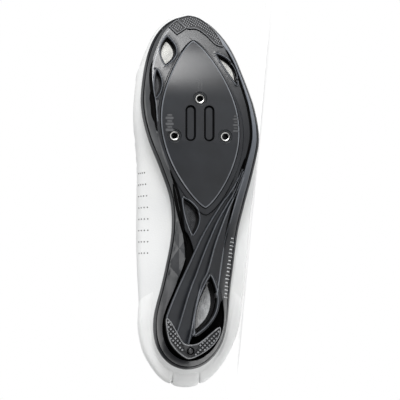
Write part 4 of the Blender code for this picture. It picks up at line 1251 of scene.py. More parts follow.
def outsole_parts(points, heights):
    """Places on the outsole: 0 its satin faces, 1 recessed ones in painted shade, 2 edges with a painted
    highlight, 3 the outer rim and 4 the inner rim, both lighter by painted reflection.
    """
    station = points[:, 0] / SOLE_LENGTH
    outline = sole_outline()
    to_edge = depth_inside(points, outline)
    to_inner = depth_inside(points, rim_inner_loop(outline))
    on_platform = depth_inside(points, platform_loop(60))
    base = HEEL_HEIGHT * read(PROFILE, "base", station)
    parts = np.zeros(len(points), int)
    # The rims get lighter copies of the composite: painted reflection.
    rim = (to_inner < 0) & (to_edge > WELT_INSET + 0.7 * WELT_WIDTH)
    parts[rim & (points[:, 1] > 0)] = 3
    parts[rim & (points[:, 1] < 0)] = 4
    lines = bar_lines()
    on_pad = depth_inside(points, heel_pad_loop())
    on_bars = np.zeros(len(points), bool)
    for first, second in zip(lines, lines[1:]):
        on_bars |= depth_inside(points, np.concatenate([first, second[::-1]])) > 0
    # Recesses, grooves, walls and the ring round the heel pad get the near-black material: painted shade.
    painted_shade = (heights > base + PAINTED_SHADE_DEPTH) & (to_inner > 0) & ~(on_bars & (on_pad > -PAD_SURROUND))
    painted_shade |= on_pad > -WALL_SLOPE_WIDTH / 2
    for path, half_width in rim_grooves():
        painted_shade |= groove_share(points, path, half_width) > 0.35
    for loop in slot_loops():
        depth = depth_inside(points, loop)
        painted_shade |= (depth > -0.0002) & (depth < SLOT_GROOVE_WIDTH * 0.9)
    painted_shade |= (on_platform < -0.0001) & (on_platform > -WALL_SLOPE_WIDTH)
    painted_shade |= np.abs(to_edge - WELT_INSET) < 0.7 * WELT_WIDTH
    parts[painted_shade] = 1
    # Platform bevel, vent rims, bar crests and the inner rim line get a lighter material: painted highlight.
    edge = (on_platform > 0) & (on_platform < PLATFORM_BEVEL)
    for rows in VENTS.values():
        away = np.abs(depth_inside(points, leaf_loop(rows, LEAF_POINTS)) + VENT_RIM_AWAY)
        edge |= away < VENT_RIM_WIDTH * 0.6
    for line in lines:
        edge |= (path_distance(points, line) < 0.0004) & (on_platform < -0.002) & (on_pad < -0.0004)
    edge |= (to_inner > INNER_LINE[0]) & (to_inner < INNER_LINE[1]) & (points[:, 1] < 0) & (station > 0.7)
    parts[edge] = 2
    return parts


def make_outsole(*materials):
    outline = sole_outline()
    holes = [leaf_loop(rows, 26) for rows in VENTS.values()]
    holes += [circle(place, NUT_DIAMETER + 2 * GAP, 40) for place in bolt_places().values()]
    top_paths = [closed_path(inset(outline, width)) for width in (EDGE_RADIUS, RIM_TOP_WIDTH, RIM_FOOT_WIDTH)]
    piece = relief_piece("outsole_shell", [outline, *holes], sole_underside, sole_top,
                         sole_under_paths(outline), top_paths, 0.006, FILL_SPACING)
    piece.data.set_sharp_from_angle(angle=math.radians(SOLE_SHARP_ANGLE))
    finish(piece, materials[0], "sole", "outsole")
    for material in materials[1:]:
        piece.data.materials.append(material)
    centres = np.empty(3 * len(piece.data.polygons))
    piece.data.polygons.foreach_get("center", centres)
    x, y, z = centres.reshape(-1, 3).T
    parts = outsole_parts(np.column_stack([along_before(x), y]), z)
    piece.data.polygons.foreach_set("material_index", parts)


def turned_by(angle):
    """A matrix that turns points in plan."""
    return np.array([[math.cos(angle), math.sin(angle)], [-math.sin(angle), math.cos(angle)]])


def block_faces(start):
    """Faces of a block whose four base corners come first: its top, its base and its sides."""
    sides = [(start + i, start + (i + 1) % 4, start + 4 + (i + 1) % 4, start + 4 + i) for i in range(4)]
    return [tuple(range(start + 4, start + 8)), tuple(range(start + 3, start - 1, -1)), *sides]


def studs(name, loops, bottom, pitch, height, turn, share=0.55):
    """Small pyramids with cut tops, in rows inside the first loop and outside the others, under a surface."""
    low = loops[0].min(axis=0) - pitch
    high = loops[0].max(axis=0) + pitch
    centre = (low + high) / 2
    reach = np.linalg.norm(high - low) / 2
    line = np.arange(-reach, reach, pitch)
    along, across = np.meshgrid(line, line)
    spin = turned_by(math.radians(turn))
    places = centre + np.column_stack([along.ravel(), across.ravel()]) @ spin
    places = places[clear_of(places, loops, pitch * 0.4)]
    corner = np.array([(-1, -1), (1, -1), (1, 1), (-1, 1)]) * pitch * 0.47
    points = []
    faces = []
    for place, depth in zip(places, bottom(places)):
        start = len(points)
        for scale, z in ((1, depth + 0.0002), (share, depth - height)):
            for x, y in (corner * scale) @ spin + place:
                points.append((x, y, z))
        faces += block_faces(start)
    return add_mesh(name, points, faces, False)


def finish_studs(piece, material, wear_and_highlight):
    """Dark rubber studs with lighter tops, partly wear and partly a painted highlight: each stud's first face
    is its top.
    """
    finish(piece, material, "tread")
    piece.data.materials.append(wear_and_highlight)
    tops = [int(i % 6 == 0) for i in range(len(piece.data.polygons))]
    piece.data.polygons.foreach_set("material_index", tops)


def border_wear_and_highlight(piece, material, loop, width):
    """Give the faces along a pad's outline a second, lighter material: partly wear, partly a painted
    highlight.
    """
    piece.data.materials.append(material)
    centres = np.array([tuple(face.center) for face in piece.data.polygons])
    depth = depth_inside(np.column_stack([along_before(centres[:, 0]), centres[:, 1]]), loop)
    piece.data.polygons.foreach_set("material_index", (np.abs(depth) < width).astype(int))


def make_pads(material, wear_and_highlight):
    """The rubber treads: a pad with a raised border, and rows of studs inside it."""
    def base(points):
        return HEEL_HEIGHT * read(PROFILE, "base", points[:, 0] / SOLE_LENGTH) - GAP

    place = np.array([SCREW_PLACE[0] * SOLE_LENGTH, SCREW_PLACE[1] * SOLE_WIDTH])
    hole = circle(place, SCREW_DIAMETER + 2 * GAP)
    screw_field = place + np.array(SCREW_FIELD)
    loop = heel_pad_loop()

    def heel_floor(points):
        inside = np.minimum(depth_inside(points, loop) - STUD_BORDER, -depth_inside(points, screw_field))
        edge = 0.0004 * (1 - eased(depth_inside(points, loop) / 0.0004))
        return STUD_HEIGHT * eased(inside / 0.0003) + edge

    rings = ringed(loop, (0.0002, 0.0004, STUD_BORDER, STUD_BORDER + 0.0003))
    piece = relief_piece("heel_pad_tread", [loop, hole], heel_floor,
                         lambda p: np.full(len(p), HEEL_PAD_THICKNESS), rings, (), 0.004, 0.0008)
    finish(piece, material, "tread", "heel_pad")
    border_wear_and_highlight(piece, wear_and_highlight, loop, 0.0006)
    piece = studs("heel_pad_studs", [loop, screw_field], lambda p: np.full(len(p), STUD_HEIGHT),
                  STUD_PITCH, STUD_HEIGHT, 45)
    finish_studs(piece, material, wear_and_highlight)
    for name, rows in (("toe_pad_medial", TOE_PAD_MEDIAL), ("toe_pad_lateral", TOE_PAD_LATERAL)):
        loop = toe_pad_loop(rows)

        def toe_floor(points):
            depth = depth_inside(points, loop)
            edge = 0.0004 * (1 - eased(depth / 0.0004))
            return base(points) - TOE_PAD_THICKNESS + edge + DOT_HEIGHT * eased(depth / 0.0003 - 2)

        rings = ringed(loop, (0.0002, 0.0004, 0.0006, 0.0009))
        piece = relief_piece(f"{name}_tread", [loop], toe_floor, base, rings, (), 0.003, 0.0012)
        finish(piece, material, "tread", name)
        border_wear_and_highlight(piece, wear_and_highlight, loop, 0.0004)
        piece = studs(f"{name}_dots", [inset(loop, 0.0007)],
                      lambda p: base(p) - TOE_PAD_THICKNESS + DOT_HEIGHT, DOT_PITCH, DOT_HEIGHT, 30)
        finish_studs(piece, material, wear_and_highlight)


def darkened(piece, material, place, reach):
    """Give the faces within a reach of a turned piece's axis a second material: on the nuts, painted shade in
    the bore.
    """
    piece.data.materials.append(material)
    for face in piece.data.polygons:
        away = math.hypot(face.center.x - place[0], face.center.y - place[1])
        face.material_index = int(away < reach)


def make_fastenings(bright, dark):
    for name, place in bolt_places().items():
        piece = turned(f"nut_{name}", place, nut_profile(place))
        finish(piece, bright, "metal", f"cleat_nut_{name}")
        # The bore gets the dark steel: painted shade.
        darkened(piece, dark, place, BOLT_DIAMETER / 2 + 0.0002)
    place = (SCREW_PLACE[0] * SOLE_LENGTH, SCREW_PLACE[1] * SOLE_WIDTH)
    head = SCREW_DIAMETER / 2
    socket = SCREW_SOCKET_DIAMETER / 2
    top = HEEL_PAD_THICKNESS
    floor = (top + SCREW_RECESS) / 2
    rounded = [(head, 0.0008), (head * 0.93, 0.0004), (head * 0.75, 0.0001),
               (socket + 0.0001, 0), (socket, 0.0001)]
    profile = [(AXIS_GAP, top), (head, top), *((radius, SCREW_RECESS + rise) for radius, rise in rounded),
               (socket * 0.96, floor), (AXIS_GAP, floor)]
    finish(turned("heel_screw_head", place, profile, 36), dark, "metal", "heel_screw")


def make_vents(weaves, dark):
    """In each vent a near-black backing, and a woven sheet that leaves a gap to the wall where the backing
    shows as painted shade.
    """
    for (name, rows), slant in zip(VENTS.items(), (35, 20, 10, 40, 45)):
        piece = vent_weave(f"vent_weave_{name}", weave_loop(name), slant)
        finish(piece, weaves[name], "vent_mesh", f"vent_mesh_{name}")
        low = VENT_MESH_DEPTH + THREAD_DIAMETER / 2
        # The backing is near-black: painted shade in the gap round the weave.
        back = ("back", inset(leaf_loop(rows, 20), GAP), 0, dark)
        for kind, loop, sunk, material in (back, ("sheet", weave_loop(name), 0.0003, weaves[name])):
            piece = relief_piece(f"vent_{kind}_{name}", [loop], lambda p: footbed(p[:, 0]) - low - sunk,
                                 lambda p: footbed(p[:, 0]) - VENT_MESH_DEPTH - sunk, (), (), 0.003)
            finish(piece, material, "vent_mesh")


def make_insole(material):
    angle = np.linspace(0, 2 * math.pi, 220, endpoint=False)
    loop = np.column_stack(sole_ring(angle, RIM_FOOT_WIDTH + WALL + 3 * GAP))

    def top(points):
        depth = depth_inside(points, loop)
        return footbed(points[:, 0]) + GAP + INSOLE_THICKNESS - 0.0012 * (1 - eased(depth / 0.0012))

    paths = ringed(loop, (0.0003, 0.0006, 0.0009, 0.0012))
    piece = relief_piece("insole_cover", [loop], lambda p: footbed(p[:, 0]) + GAP, top, (), paths, 0.003)
    finish(piece, material, "insole", "insole")


def upper_detail(level, point):
    """How far the upper's face stands out or in: flex creases and the edge of the toe's overlay."""
    x = point[..., 0]
    across = point[..., 1]
    detail = np.zeros_like(x)
    for along, bow, slant, width, depth, low in zip(*CREASES.values()):
        middle = along + bow * np.abs(across / SOLE_WIDTH) ** 1.6 + slant * across / SOLE_WIDTH
        away = (x / SOLE_LENGTH - middle) / width
        top = eased((level - low) / 0.5)
        detail -= depth * np.exp(-away**2) * top
        detail += 0.5 * depth * np.exp(-(np.abs(away) - 1.9) ** 2) * top
    for along, lean, width, step, low, high in zip(*SEAMS.values()):
        away = (x / SOLE_LENGTH - along - lean * (level - 1.2)) / width
        span = eased((level - low) / 0.08) * eased((high - level) / 0.08)
        detail += step * eased(0.5 - away / 2) * span * (away < 8) * eased(4 + away / 2)
    return detail


# Soft creases across the top where the foot flexes, as shares of the sole's length and width.
CREASES = table(
    "along bow slant width depth low",
    (0.700, -0.16, 0.05, 0.009, 0.0009, 1.7),
    (0.745, -0.17, 0.05, 0.008, 0.0008, 1.8),
    (0.660, -0.14, 0.05, 0.008, 0.0006, 1.7),
)

# An overlay's edge across the toe: a small step along a line.
SEAMS = table("along lean width step low high", (0.905, -0.06, 0.0022, 0.0007, 1.05, 2.98))


def make_upper(material, lining):
    """The upper's wall with its padded collar, lined inside."""
    share = np.linspace(0, 2 * math.pi, UPPER_RIBS, endpoint=False)
    angles = share - 0.35 * np.sin(2 * share) / 2
    levels = np.concatenate([[0, 0.5], 1 + crowded(24, 0.8), 2 + crowded(34, 0.8)[1:]])
    grid = upper_point(angles[:, None], levels[None])
    normal = upper_normal(angles[:, None], levels[None])
    behind = np.clip((COLLAR_REACH - ring_station(angles)) / COLLAR_BLEND, 0, 1)[:, None]
    padded = behind * np.clip((levels[None] - COLLAR_PAD_LOW) / COLLAR_PAD_RISE, 0, 1)
    edge = np.clip((levels[None] - BRIM_LOW) / BRIM_RISE, 0, 1)
    wall = (WALL + (COLLAR_WALL - WALL) * padded) * (1 - 0.5 * edge)
    detail = upper_detail(levels[None], grid)
    roll = BRIM_ROLL * edge**2
    outer = grid + normal * (detail - roll)[..., None]
    piece = shell_piece("upper_shell", outer, grid - normal * wall[..., None], True)
    finish(piece, material, "upper", "upper")
    piece.data.materials.append(lining)
    inner_start = grid.shape[0] * grid.shape[1]
    inner = [int(min(face.vertices) >= inner_start) for face in piece.data.polygons]
    piece.data.polygons.foreach_set("material_index", inner)


def overlay_gap(levels):
    """An overlay's distance from the upper: none to speak of at its lower edge."""
    return (0.0001 + 1.5 * GAP * eased((levels - OVERLAY_LOW) / 0.15))[None, :, None]


def counter_grid(side, rows=46, columns=34):
    levels = OVERLAY_LOW + COUNTER_RISE * crowded(columns, 0.8)
    cut_back = 0.25 * (levels - OVERLAY_LOW) / COUNTER_RISE
    start = angles_at(levels, np.full((1, columns), BACKSTAY_WIDTH / 2 + 2 * GAP), 1)
    end = angles_at(levels, (COUNTER_LENGTH * (1 - cut_back) + UPPER_START)[None], 0)
    share = crowded(rows, 0.75)[:, None]
    return above_upper(side * (start + share * (end - start)), levels[None], overlay_gap(levels))


def backstay_grid(rows=24, columns=60):
    levels = OVERLAY_LOW + BACKSTAY_RISE * crowded(columns, 0.85)
    reach = angles_at(levels, np.full((1, columns), BACKSTAY_WIDTH / 2), 1)
    share = 2 * crowded(rows, 0.75)[:, None] - 1
    return above_upper(share * reach, levels[None], overlay_gap(levels))


def resampled(path, count):
    """A path with evenly spaced points."""
    reach = np.concatenate([[0], np.cumsum(np.linalg.norm(np.diff(path, axis=0), axis=1))])
    places = reach[-1] * crowded(count, 0.85)
    return np.column_stack([np.interp(places, reach, path[:, axis]) for axis in range(path.shape[1])])


def border_line(grid, inset_by, sides):
    """Lines that run inside chosen borders of a grid, a distance from them. Those along its rows start behind
    the part that thins out."""
    lines = []
    for side in sides:
        axis = int(side not in ("first", "last"))
        reach = grid_reach(grid, axis)
        other = grid_reach(grid, 1 - axis)
        place = inset_by if side in ("first", "start") else reach[-1] - inset_by
        low = inset_by if axis else OVERLAY_FADE
        chosen = np.flatnonzero((other > low) & (other < other[-1] - inset_by))
        crossed = [grid.take(i, 1 - axis) for i in chosen]
        lines.append(np.array([[np.interp(place, reach, line[:, k]) for k in range(3)] for line in crossed]))
    return lines


def stitches(name, lines, lift, centre):
    """Rows of short raised stitches along lines. They stand off the surface, away from the shoe's middle."""
    paths = []
    for line in lines:
        reach = np.concatenate([[0], np.cumsum(np.linalg.norm(np.diff(line, axis=0), axis=1))])
        for start in np.arange(0.0005, reach[-1] - STITCH_LENGTH, STITCH_PITCH):
            places = start + STITCH_LENGTH * np.array([0, 0.15, 0.5, 0.85, 1])
            path = np.column_stack([np.interp(places, reach, line[:, axis]) for axis in range(3)])
            away = path[2] - np.array([path[2][0], *centre])
            away /= np.linalg.norm(away)
            rise = STITCH_ARCH[:, None] * STITCH_DIAMETER / 3
            paths.append(path + away * (lift + rise))
    points, faces = tubes(paths, STITCH_DIAMETER, 6)
    return add_mesh(name, points, faces)


def make_overlays(material, thread):
    centre = (0.001, 0.045)
    for side, name in ((1, "counter_lateral"), (-1, "counter_medial")):
        grid = counter_grid(side)
        piece = slab_piece(f"{name}_skin", grid, COUNTER_THICKNESS, side, COUNTER_FADE)
        finish(piece, material, "overlay", name)
        lines = border_line(grid, STITCH_INSET, ("end",))
        piece = stitches(f"{name}_stitches", lines, COUNTER_THICKNESS, centre)
        finish(piece, thread, "overlay")
    grid = backstay_grid()
    piece = slab_piece("backstay_skin", grid, COUNTER_THICKNESS)
    finish(piece, material, "overlay", "backstay")
    piece = stitches("backstay_stitches", border_line(grid, STITCH_INSET, ("first", "last")),
                     COUNTER_THICKNESS, centre)
    finish(piece, thread, "overlay")
    for i, name in enumerate(STRAP_NAMES):
        grid = strap_grid(**{column: values[i] for column, values in STRAPS.items()})
        piece = slab_piece(f"{name}_band", grid, STRAP_THICKNESS)
        finish(piece, material, "overlay", name)
        lines = border_line(grid, STITCH_INSET, ("first", "last", "end"))
        finish(stitches(f"{name}_stitches", lines, STRAP_THICKNESS, centre), thread, "overlay")


def make_tongue(material):
    stations = ring_station(np.linspace(0, math.pi, 90))
    x = TONGUE_START + TONGUE_LENGTH * stations
    half = opening_at(x)[0]
    tucked = np.clip((x - TONGUE_START - TONGUE_FREE_LENGTH) / TONGUE_FREE_LENGTH, 0, 1)
    reach = np.minimum(half, TONGUE_HALF_WIDTH) + TONGUE_UNDERLAP * (1.3 * tucked - 0.3)
    reach *= np.clip(np.sin(math.pi * stations) * 3, 0, 1) ** 0.5
    middle = SOLE_WIDTH * read(OPENING, "middle", (x - OPENING_START) / OPENING_LENGTH)
    inner = np.column_stack([x, middle - reach])
    outer = np.column_stack([x, middle + reach])
    loop = np.concatenate([inner[:-1], outer[:0:-1]])

    def rounding(points):
        return 0.0012 * (1 - eased(depth_inside(points, loop) / 0.0016))

    paths = ringed(loop, (0.0003, 0.0007, 0.0011, 0.0016))
    piece = relief_piece("tongue_pad", [loop],
                         lambda p: tongue_height(p) - TONGUE_THICKNESS + rounding(p) * 0.6,
                         lambda p: tongue_height(p) - rounding(p), paths, paths, 0.0018, 0.003)
    finish(piece, material, "tongue", "tongue")


def bars(name, rows, surface, height):
    """Small raised bars with sloping sides on the sole's underside."""
    points = []
    faces = []
    for x, y, length, width, turn in rows:
        spin = turned_by(turn)
        start = len(points)
        corner = np.array([(-length, -width), (length, -width), (length, width), (-length, width)]) / 2
        flat = np.concatenate([corner, corner * (1 - width * 0.3 / length, 0.55)]) @ spin + (x, y)
        level = surface(flat)
        for i, (px, py) in enumerate(flat):
            points.append((px, py, level[i] + (0.0002 if i < 4 else -height)))
        faces += block_faces(start)
    return add_mesh(name, points, faces, False)


def make_marks(pale, material, dark):
    """The cleat scales and centre lines, lighter than the sole by a painted highlight, a seam at the toe, and
    a row of plain pale bars on the rim.
    """
    axis = CLEAT_AXIS * SOLE_WIDTH
    rows = []
    for i in range(SCALE_LINES):
        x = SCALE_START + i * SCALE_PITCH
        rows.append((x, axis - SCALE_INNER, LINE_WIDTH, 0.0078 - 0.0026 * (i % 2), 0))
        rows.append((x, axis + SCALE_OUTER, LINE_WIDTH, 0.0056 - 0.0018 * (i % 2), 0))
    rows += [(CENTRE_LINES, axis + side * 0.0013, 0.0080, LINE_WIDTH, 0) for side in (-1, 0, 1)]
    # The scale and centre lines are a little lighter than the sole: painted highlight.
    piece = bars("platform_scale", rows, lambda p: platform_height(p[:, 0]), 0.00018)
    finish(piece, material, "sole")
    ends = np.array(TOE_SEAM)
    turn = math.atan2(*(ends[1] - ends[0])[::-1])
    share = (np.arange(5)[:, None] + 0.5) / 5
    places = ends[0] + share * (ends[1] - ends[0])
    length = np.linalg.norm(ends[1] - ends[0]) / 5
    # The toe seam is drawn in the near-black material of the painted shade.
    piece = bars("toe_seam", [(x, y, length, 0.0004, turn) for x, y in places], sole_underside, 0.00012)
    finish(piece, dark, "sole")
    rows = []
    for i in range(RIM_BARS):
        x = RIM_BAR_START + i * RIM_BAR_PITCH
        station = x / SOLE_LENGTH
        edge = 2 * math.sqrt(station * (1 - station)) * SOLE_WIDTH * read(OUTLINE, "lateral", station)
        rows.append((x, edge - RIM_BAR_INSET, 0.0013, 0.0038 - 0.0009 * (i % 3 == 1), 0.05))
    piece = bars("rim_bars", rows, sole_underside, 0.00015)
    finish(piece, pale, "sole")


def make_holes(material):
    """Small punched air holes in the upper's inner side, over the ball of the foot."""
    rows = HOLE_START + HOLE_ROW_PITCH * np.arange(HOLE_ROWS)
    levels = np.linspace(*HOLE_LEVELS, HOLES_IN_ROW)
    angles = -angles_at(levels, np.tile(rows[:, None], HOLES_IN_ROW), 0)
    centres = above_upper(angles, levels[None], 0.00008).reshape(-1, 3)
    normals = upper_normal(angles, levels[None]).reshape(-1, 3)
    points = []
    faces = []
    for centre, normal in zip(centres, normals):
        first = np.cross(normal, (0, 0, 1.0))
        first /= np.linalg.norm(first)
        second = np.cross(normal, first)
        start = len(points)
        for radius, depth in ((1, 0), (0.75, 0.00012), (0, -0.00003)):
            for turn in np.linspace(0, 2 * math.pi, 12, endpoint=False)[:12 if radius else 1]:
                ray = math.cos(turn) * first + math.sin(turn) * second
                points.append(centre + HOLE_DIAMETER / 2 * radius * ray + depth * normal)
        for i in range(12):
            j = (i + 1) % 12
            faces.append((start + i, start + j, start + 12 + j, start + 12 + i))
            faces.append((start + 12 + i, start + 12 + j, start + 24))
    finish(add_mesh("air_holes", points, faces), material, "upper")


def new_material(name, colour, roughness, metallic=0.0):
    """A material with its shader and the piece's own coordinates."""
    material = bpy.data.materials.new(name)
    material.use_nodes = True
    nodes = material.node_tree.nodes
    shader = nodes["Principled BSDF"]
    shader.inputs["Base Color"].default_value = (*colour, 1)
    shader.inputs["Roughness"].default_value = roughness
    shader.inputs["Metallic"].default_value = metallic
    return material, shader, nodes.new("ShaderNodeTexCoord").outputs["Object"]


def noise(material, place, scale, detail=3.0, stretch=(1, 1, 1)):
    """Noise in the piece's own metres: scale is waves to the metre."""
    nodes = material.node_tree.nodes
    links = material.node_tree.links
    mapping = nodes.new("ShaderNodeMapping")
    mapping.inputs["Scale"].default_value = stretch
    texture = nodes.new("ShaderNodeTexNoise")
    texture.inputs["Scale"].default_value = scale
    texture.inputs["Detail"].default_value = detail
    links.new(place, mapping.inputs["Vector"])
    links.new(mapping.outputs["Vector"], texture.inputs["Vector"])
    return texture.outputs["Fac"]


def ranged(material, value, low, high, start=0.3, end=0.7):
    """A value spread between two limits."""
    node = material.node_tree.nodes.new("ShaderNodeMapRange")
    material.node_tree.links.new(value, node.inputs["Value"])
    for socket, number in (("From Min", start), ("From Max", end), ("To Min", low), ("To Max", high)):
        node.inputs[socket].default_value = number
    return node.outputs["Result"]


def mixed(material, share, first, second):
    """A colour between two, by a share. Each is a plain colour or another node's."""
    node = material.node_tree.nodes.new("ShaderNodeMix")
    node.data_type = "RGBA"
    material.node_tree.links.new(share, node.inputs["Factor"])
    for socket, colour in ((node.inputs[6], first), (node.inputs[7], second)):
        if isinstance(colour, tuple):
            socket.default_value = (*colour, 1)
        else:
            material.node_tree.links.new(colour, socket)
    return node.outputs[2]


def along_share(material, place, start, end):
    """A share that grows from 0 to 1 between two places along the shoe."""
    node = material.node_tree.nodes.new("ShaderNodeSeparateXYZ")
    material.node_tree.links.new(place, node.inputs["Vector"])
    return ranged(material, node.outputs["X"], 0, 1, start, end)


def bumped(material, shader, *layers):
    """Surface relief from layers of height, each with its depth in metres."""
    links = material.node_tree.links
    below = None
    for value, depth in layers:
        node = material.node_tree.nodes.new("ShaderNodeBump")
        node.inputs["Strength"].default_value = 1.0
        node.inputs["Distance"].default_value = depth
        links.new(value, node.inputs["Height"])
        if below:
            links.new(below, node.inputs["Normal"])
        below = node.outputs["Normal"]
    links.new(below, shader.inputs["Normal"])


def cells(material, place, scale):
    """Small rounded cells, as in leather grain."""
    texture = material.node_tree.nodes.new("ShaderNodeTexVoronoi")
    texture.inputs["Scale"].default_value = scale
    material.node_tree.links.new(place, texture.inputs["Vector"])
    return texture.outputs["Distance"]


SOLE_DARK = (0.010, 0.011, 0.0135)
SOLE_LIGHT = (0.015, 0.017, 0.021)
SOLE_GLOSS = {"Specular IOR Level": 0.32, "Coat Weight": 0.18, "Coat Roughness": 0.22}


def sole_material(name, dark, light, rise=None):
    """Moulded composite: satin, a little cloudy and finely scratched. Given a rise, a rim's copy turns from
    the dark composite to lighter between two places along the shoe: painted reflection."""
    material, shader, place = new_material(name, dark, 0.3)
    cloud = noise(material, place, 55)
    scratches = noise(material, place, 700, 2, (0.3, 1, 1))
    grain = noise(material, place, 2600, 2)
    links = material.node_tree.links
    colour = mixed(material, ranged(material, cloud, 0, 1), dark, light)
    if rise:
        colour = mixed(material, along_share(material, place, *rise), SOLE_DARK, colour)
    links.new(colour, shader.inputs["Base Color"])
    links.new(ranged(material, scratches, 0.28, 0.32, 0.35, 0.75), shader.inputs["Roughness"])
    bumped(material, shader, (grain, 0.000008), (scratches, 0.000004))
    for socket, value in SOLE_GLOSS.items():
        shader.inputs[socket].default_value = value
    return material


def rubber_material(name, dark, dusty):
    material, shader, place = new_material(name, dark, 0.62)
    dust = noise(material, place, 160, 4)
    colour = mixed(material, ranged(material, dust, 0, 1, 0.45, 0.7), dark, dusty)
    material.node_tree.links.new(colour, shader.inputs["Base Color"])
    material.node_tree.links.new(ranged(material, dust, 0.5, 0.72), shader.inputs["Roughness"])
    bumped(material, shader, (noise(material, place, 3000, 2), 0.00003))
    return material


def steel_material(name, dull, clear):
    material, shader, place = new_material(name, clear, 0.22, 1.0)
    haze = noise(material, place, 700, 3)
    material.node_tree.links.new(ranged(material, haze, 0.16, 0.34), shader.inputs["Roughness"])
    tone = mixed(material, ranged(material, haze, 0, 1), dull, clear)
    material.node_tree.links.new(tone, shader.inputs["Base Color"])
    bumped(material, shader, (noise(material, place, 2400, 2), 0.00001))
    return material


def cloth_material(name, dark, light, roughness, scale=900, depth=0.0001, metallic=0.0):
    """Woven cloth: crossed waves for the threads, and a cloudy tone."""
    material, shader, place = new_material(name, light, roughness, metallic)
    nodes = material.node_tree.nodes
    links = material.node_tree.links
    cloud = noise(material, place, 240, 4)
    links.new(mixed(material, ranged(material, cloud, 0, 1), dark, light), shader.inputs["Base Color"])
    layers = []
    for direction in ("X", "Y"):
        wave = nodes.new("ShaderNodeTexWave")
        wave.bands_direction = direction
        wave.inputs["Scale"].default_value = scale / 20
        wave.inputs["Distortion"].default_value = 0.4
        links.new(place, wave.inputs["Vector"])
        layers.append((wave.outputs["Fac"], depth))
    bumped(material, shader, *layers, (noise(material, place, 2500, 2), depth / 4))
    shader.inputs["Sheen Weight"].default_value = 0.15
    return material


def leather_material(name, pale, shaded, roughness, grain, depth):
    """White synthetic leather: fine grain, a soft uneven tone and slight scuffs."""
    material, shader, place = new_material(name, pale, roughness)
    links = material.node_tree.links
    cloud = noise(material, place, 26, 4)
    scuffs = noise(material, place, 420, 4, (1, 1, 0.35))
    tone = mixed(material, ranged(material, cloud, 0, 1, 0.35, 0.75), pale, shaded)
    links.new(tone, shader.inputs["Base Color"])
    links.new(ranged(material, scuffs, roughness - 0.08, roughness + 0.12), shader.inputs["Roughness"])
    fine = noise(material, place, grain * 2, 2)
    bumped(material, shader, (cells(material, place, grain), depth), (fine, depth / 2))
    return material


def plain_material(name, colour, roughness):
    material, shader, place = new_material(name, colour, roughness)
    tone = tuple(min(1, part * 1.25) for part in colour)
    share = ranged(material, noise(material, place, 600, 3), 0, 1)
    material.node_tree.links.new(mixed(material, share, colour, tone), shader.inputs["Base Color"])
    bumped(material, shader, (noise(material, place, 2200, 2), 0.00002))
    return material


# The camera: how far off, how far it is turned from the sole's normal towards the heel, the lowest height
# that it may take, the width that it sees, and the spot under the sole that it looks at.
CAMERA_DISTANCE = 0.90
CAMERA_TO_HEEL = 7.0
CAMERA_HEIGHT = 0.012
VIEW_WIDTH = 0.290
VIEW_CENTRE = Vector((0.1222, 0.0065, 0.003))


def make_camera():
    """A camera under the sole, turned towards the inner side until it stands above the floor."""
    turn = LYING.to_3x3()
    toe, outer, below = turn @ Vector((1, 0, 0)), turn @ Vector((0, 1, 0)), turn @ Vector((0, 0, -1))
    target = LYING @ VIEW_CENTRE
    away = below
    for inward in np.arange(0, 30, 0.1):
        away = below - toe * math.tan(math.radians(CAMERA_TO_HEEL)) - outer * math.tan(math.radians(inward))
        away.normalize()
        if target.z + away.z * CAMERA_DISTANCE >= CAMERA_HEIGHT:
            break
    up = (toe - away * toe.dot(away)).normalized()
    data = bpy.data.cameras.new("camera")
    data.sensor_width = 36
    data.lens = data.sensor_width * CAMERA_DISTANCE / VIEW_WIDTH
    data.clip_start = 0.01
    camera = bpy.data.objects.new("camera", data)
    bpy.context.scene.collection.objects.link(camera)
    place = target + away * CAMERA_DISTANCE
    camera.matrix_world = Matrix.Translation(place) @ Matrix((up.cross(away), up, away)).transposed().to_4x4()
    bpy.context.scene.camera = camera


# Soft lights: where they stand from the shoe's middle, how wide they are, and their power.
LIGHTS = table(
    "x y z width power",
    (0.80, -1.00, 0.10, 0.50, 16),
    (-0.70, -0.50, 0.80, 0.40, 3),
    (0.00, 0.05, 1.30, 1.00, 6),
    (0.00, 0.90, 0.60, 1.00, 3),
)
SURROUNDINGS = 0.10
FLOOR_GLOW = 0.40
FLOOR_REACH = 0.42


def make_lights():
    for i in range(len(LIGHTS["x"])):
        data = bpy.data.lights.new(f"soft_light_{i}", "AREA")
        data.size = LIGHTS["width"][i]
        data.energy = LIGHTS["power"][i]
        light = bpy.data.objects.new(data.name, data)
        light.location = (LIGHTS["x"][i], LIGHTS["y"][i], LIGHTS["z"][i])
        light.rotation_euler = (Vector((0, 0, 0.04)) - light.location).to_track_quat("-Z", "Y").to_euler()
        bpy.context.scene.collection.objects.link(light)


def make_surroundings():
    """A white floor, and a white backdrop that lights the shoe only softly."""
    mesh = bmesh.new()
    bmesh.ops.create_grid(mesh, x_segments=2, y_segments=2, size=FLOOR_REACH)
    data = bpy.data.meshes.new("floor")
    mesh.to_mesh(data)
    mesh.free()
    floor = bpy.data.objects.new("floor", data)
    bpy.context.scene.collection.objects.link(floor)
    white = plain_material("floor_white", (0.8, 0.8, 0.8), 0.9)
    shader = white.node_tree.nodes["Principled BSDF"]
    shader.inputs["Emission Color"].default_value = (1, 1, 1, 1)
    shader.inputs["Emission Strength"].default_value = FLOOR_GLOW
    data.materials.append(white)
    world = bpy.data.worlds.new("white")
    world.use_nodes = True
    nodes = world.node_tree.nodes
    seen = nodes.new("ShaderNodeLightPath").outputs["Is Camera Ray"]
    strength = nodes.new("ShaderNodeMapRange")
    strength.inputs["To Min"].default_value = SURROUNDINGS
    world.node_tree.links.new(seen, strength.inputs["Value"])
    world.node_tree.links.new(strength.outputs["Result"], nodes["Background"].inputs["Strength"])
    nodes["Background"].inputs["Color"].default_value = (1, 1, 1, 1)
    bpy.context.scene.world = world
    bpy.context.scene.view_settings.view_transform = "Standard"


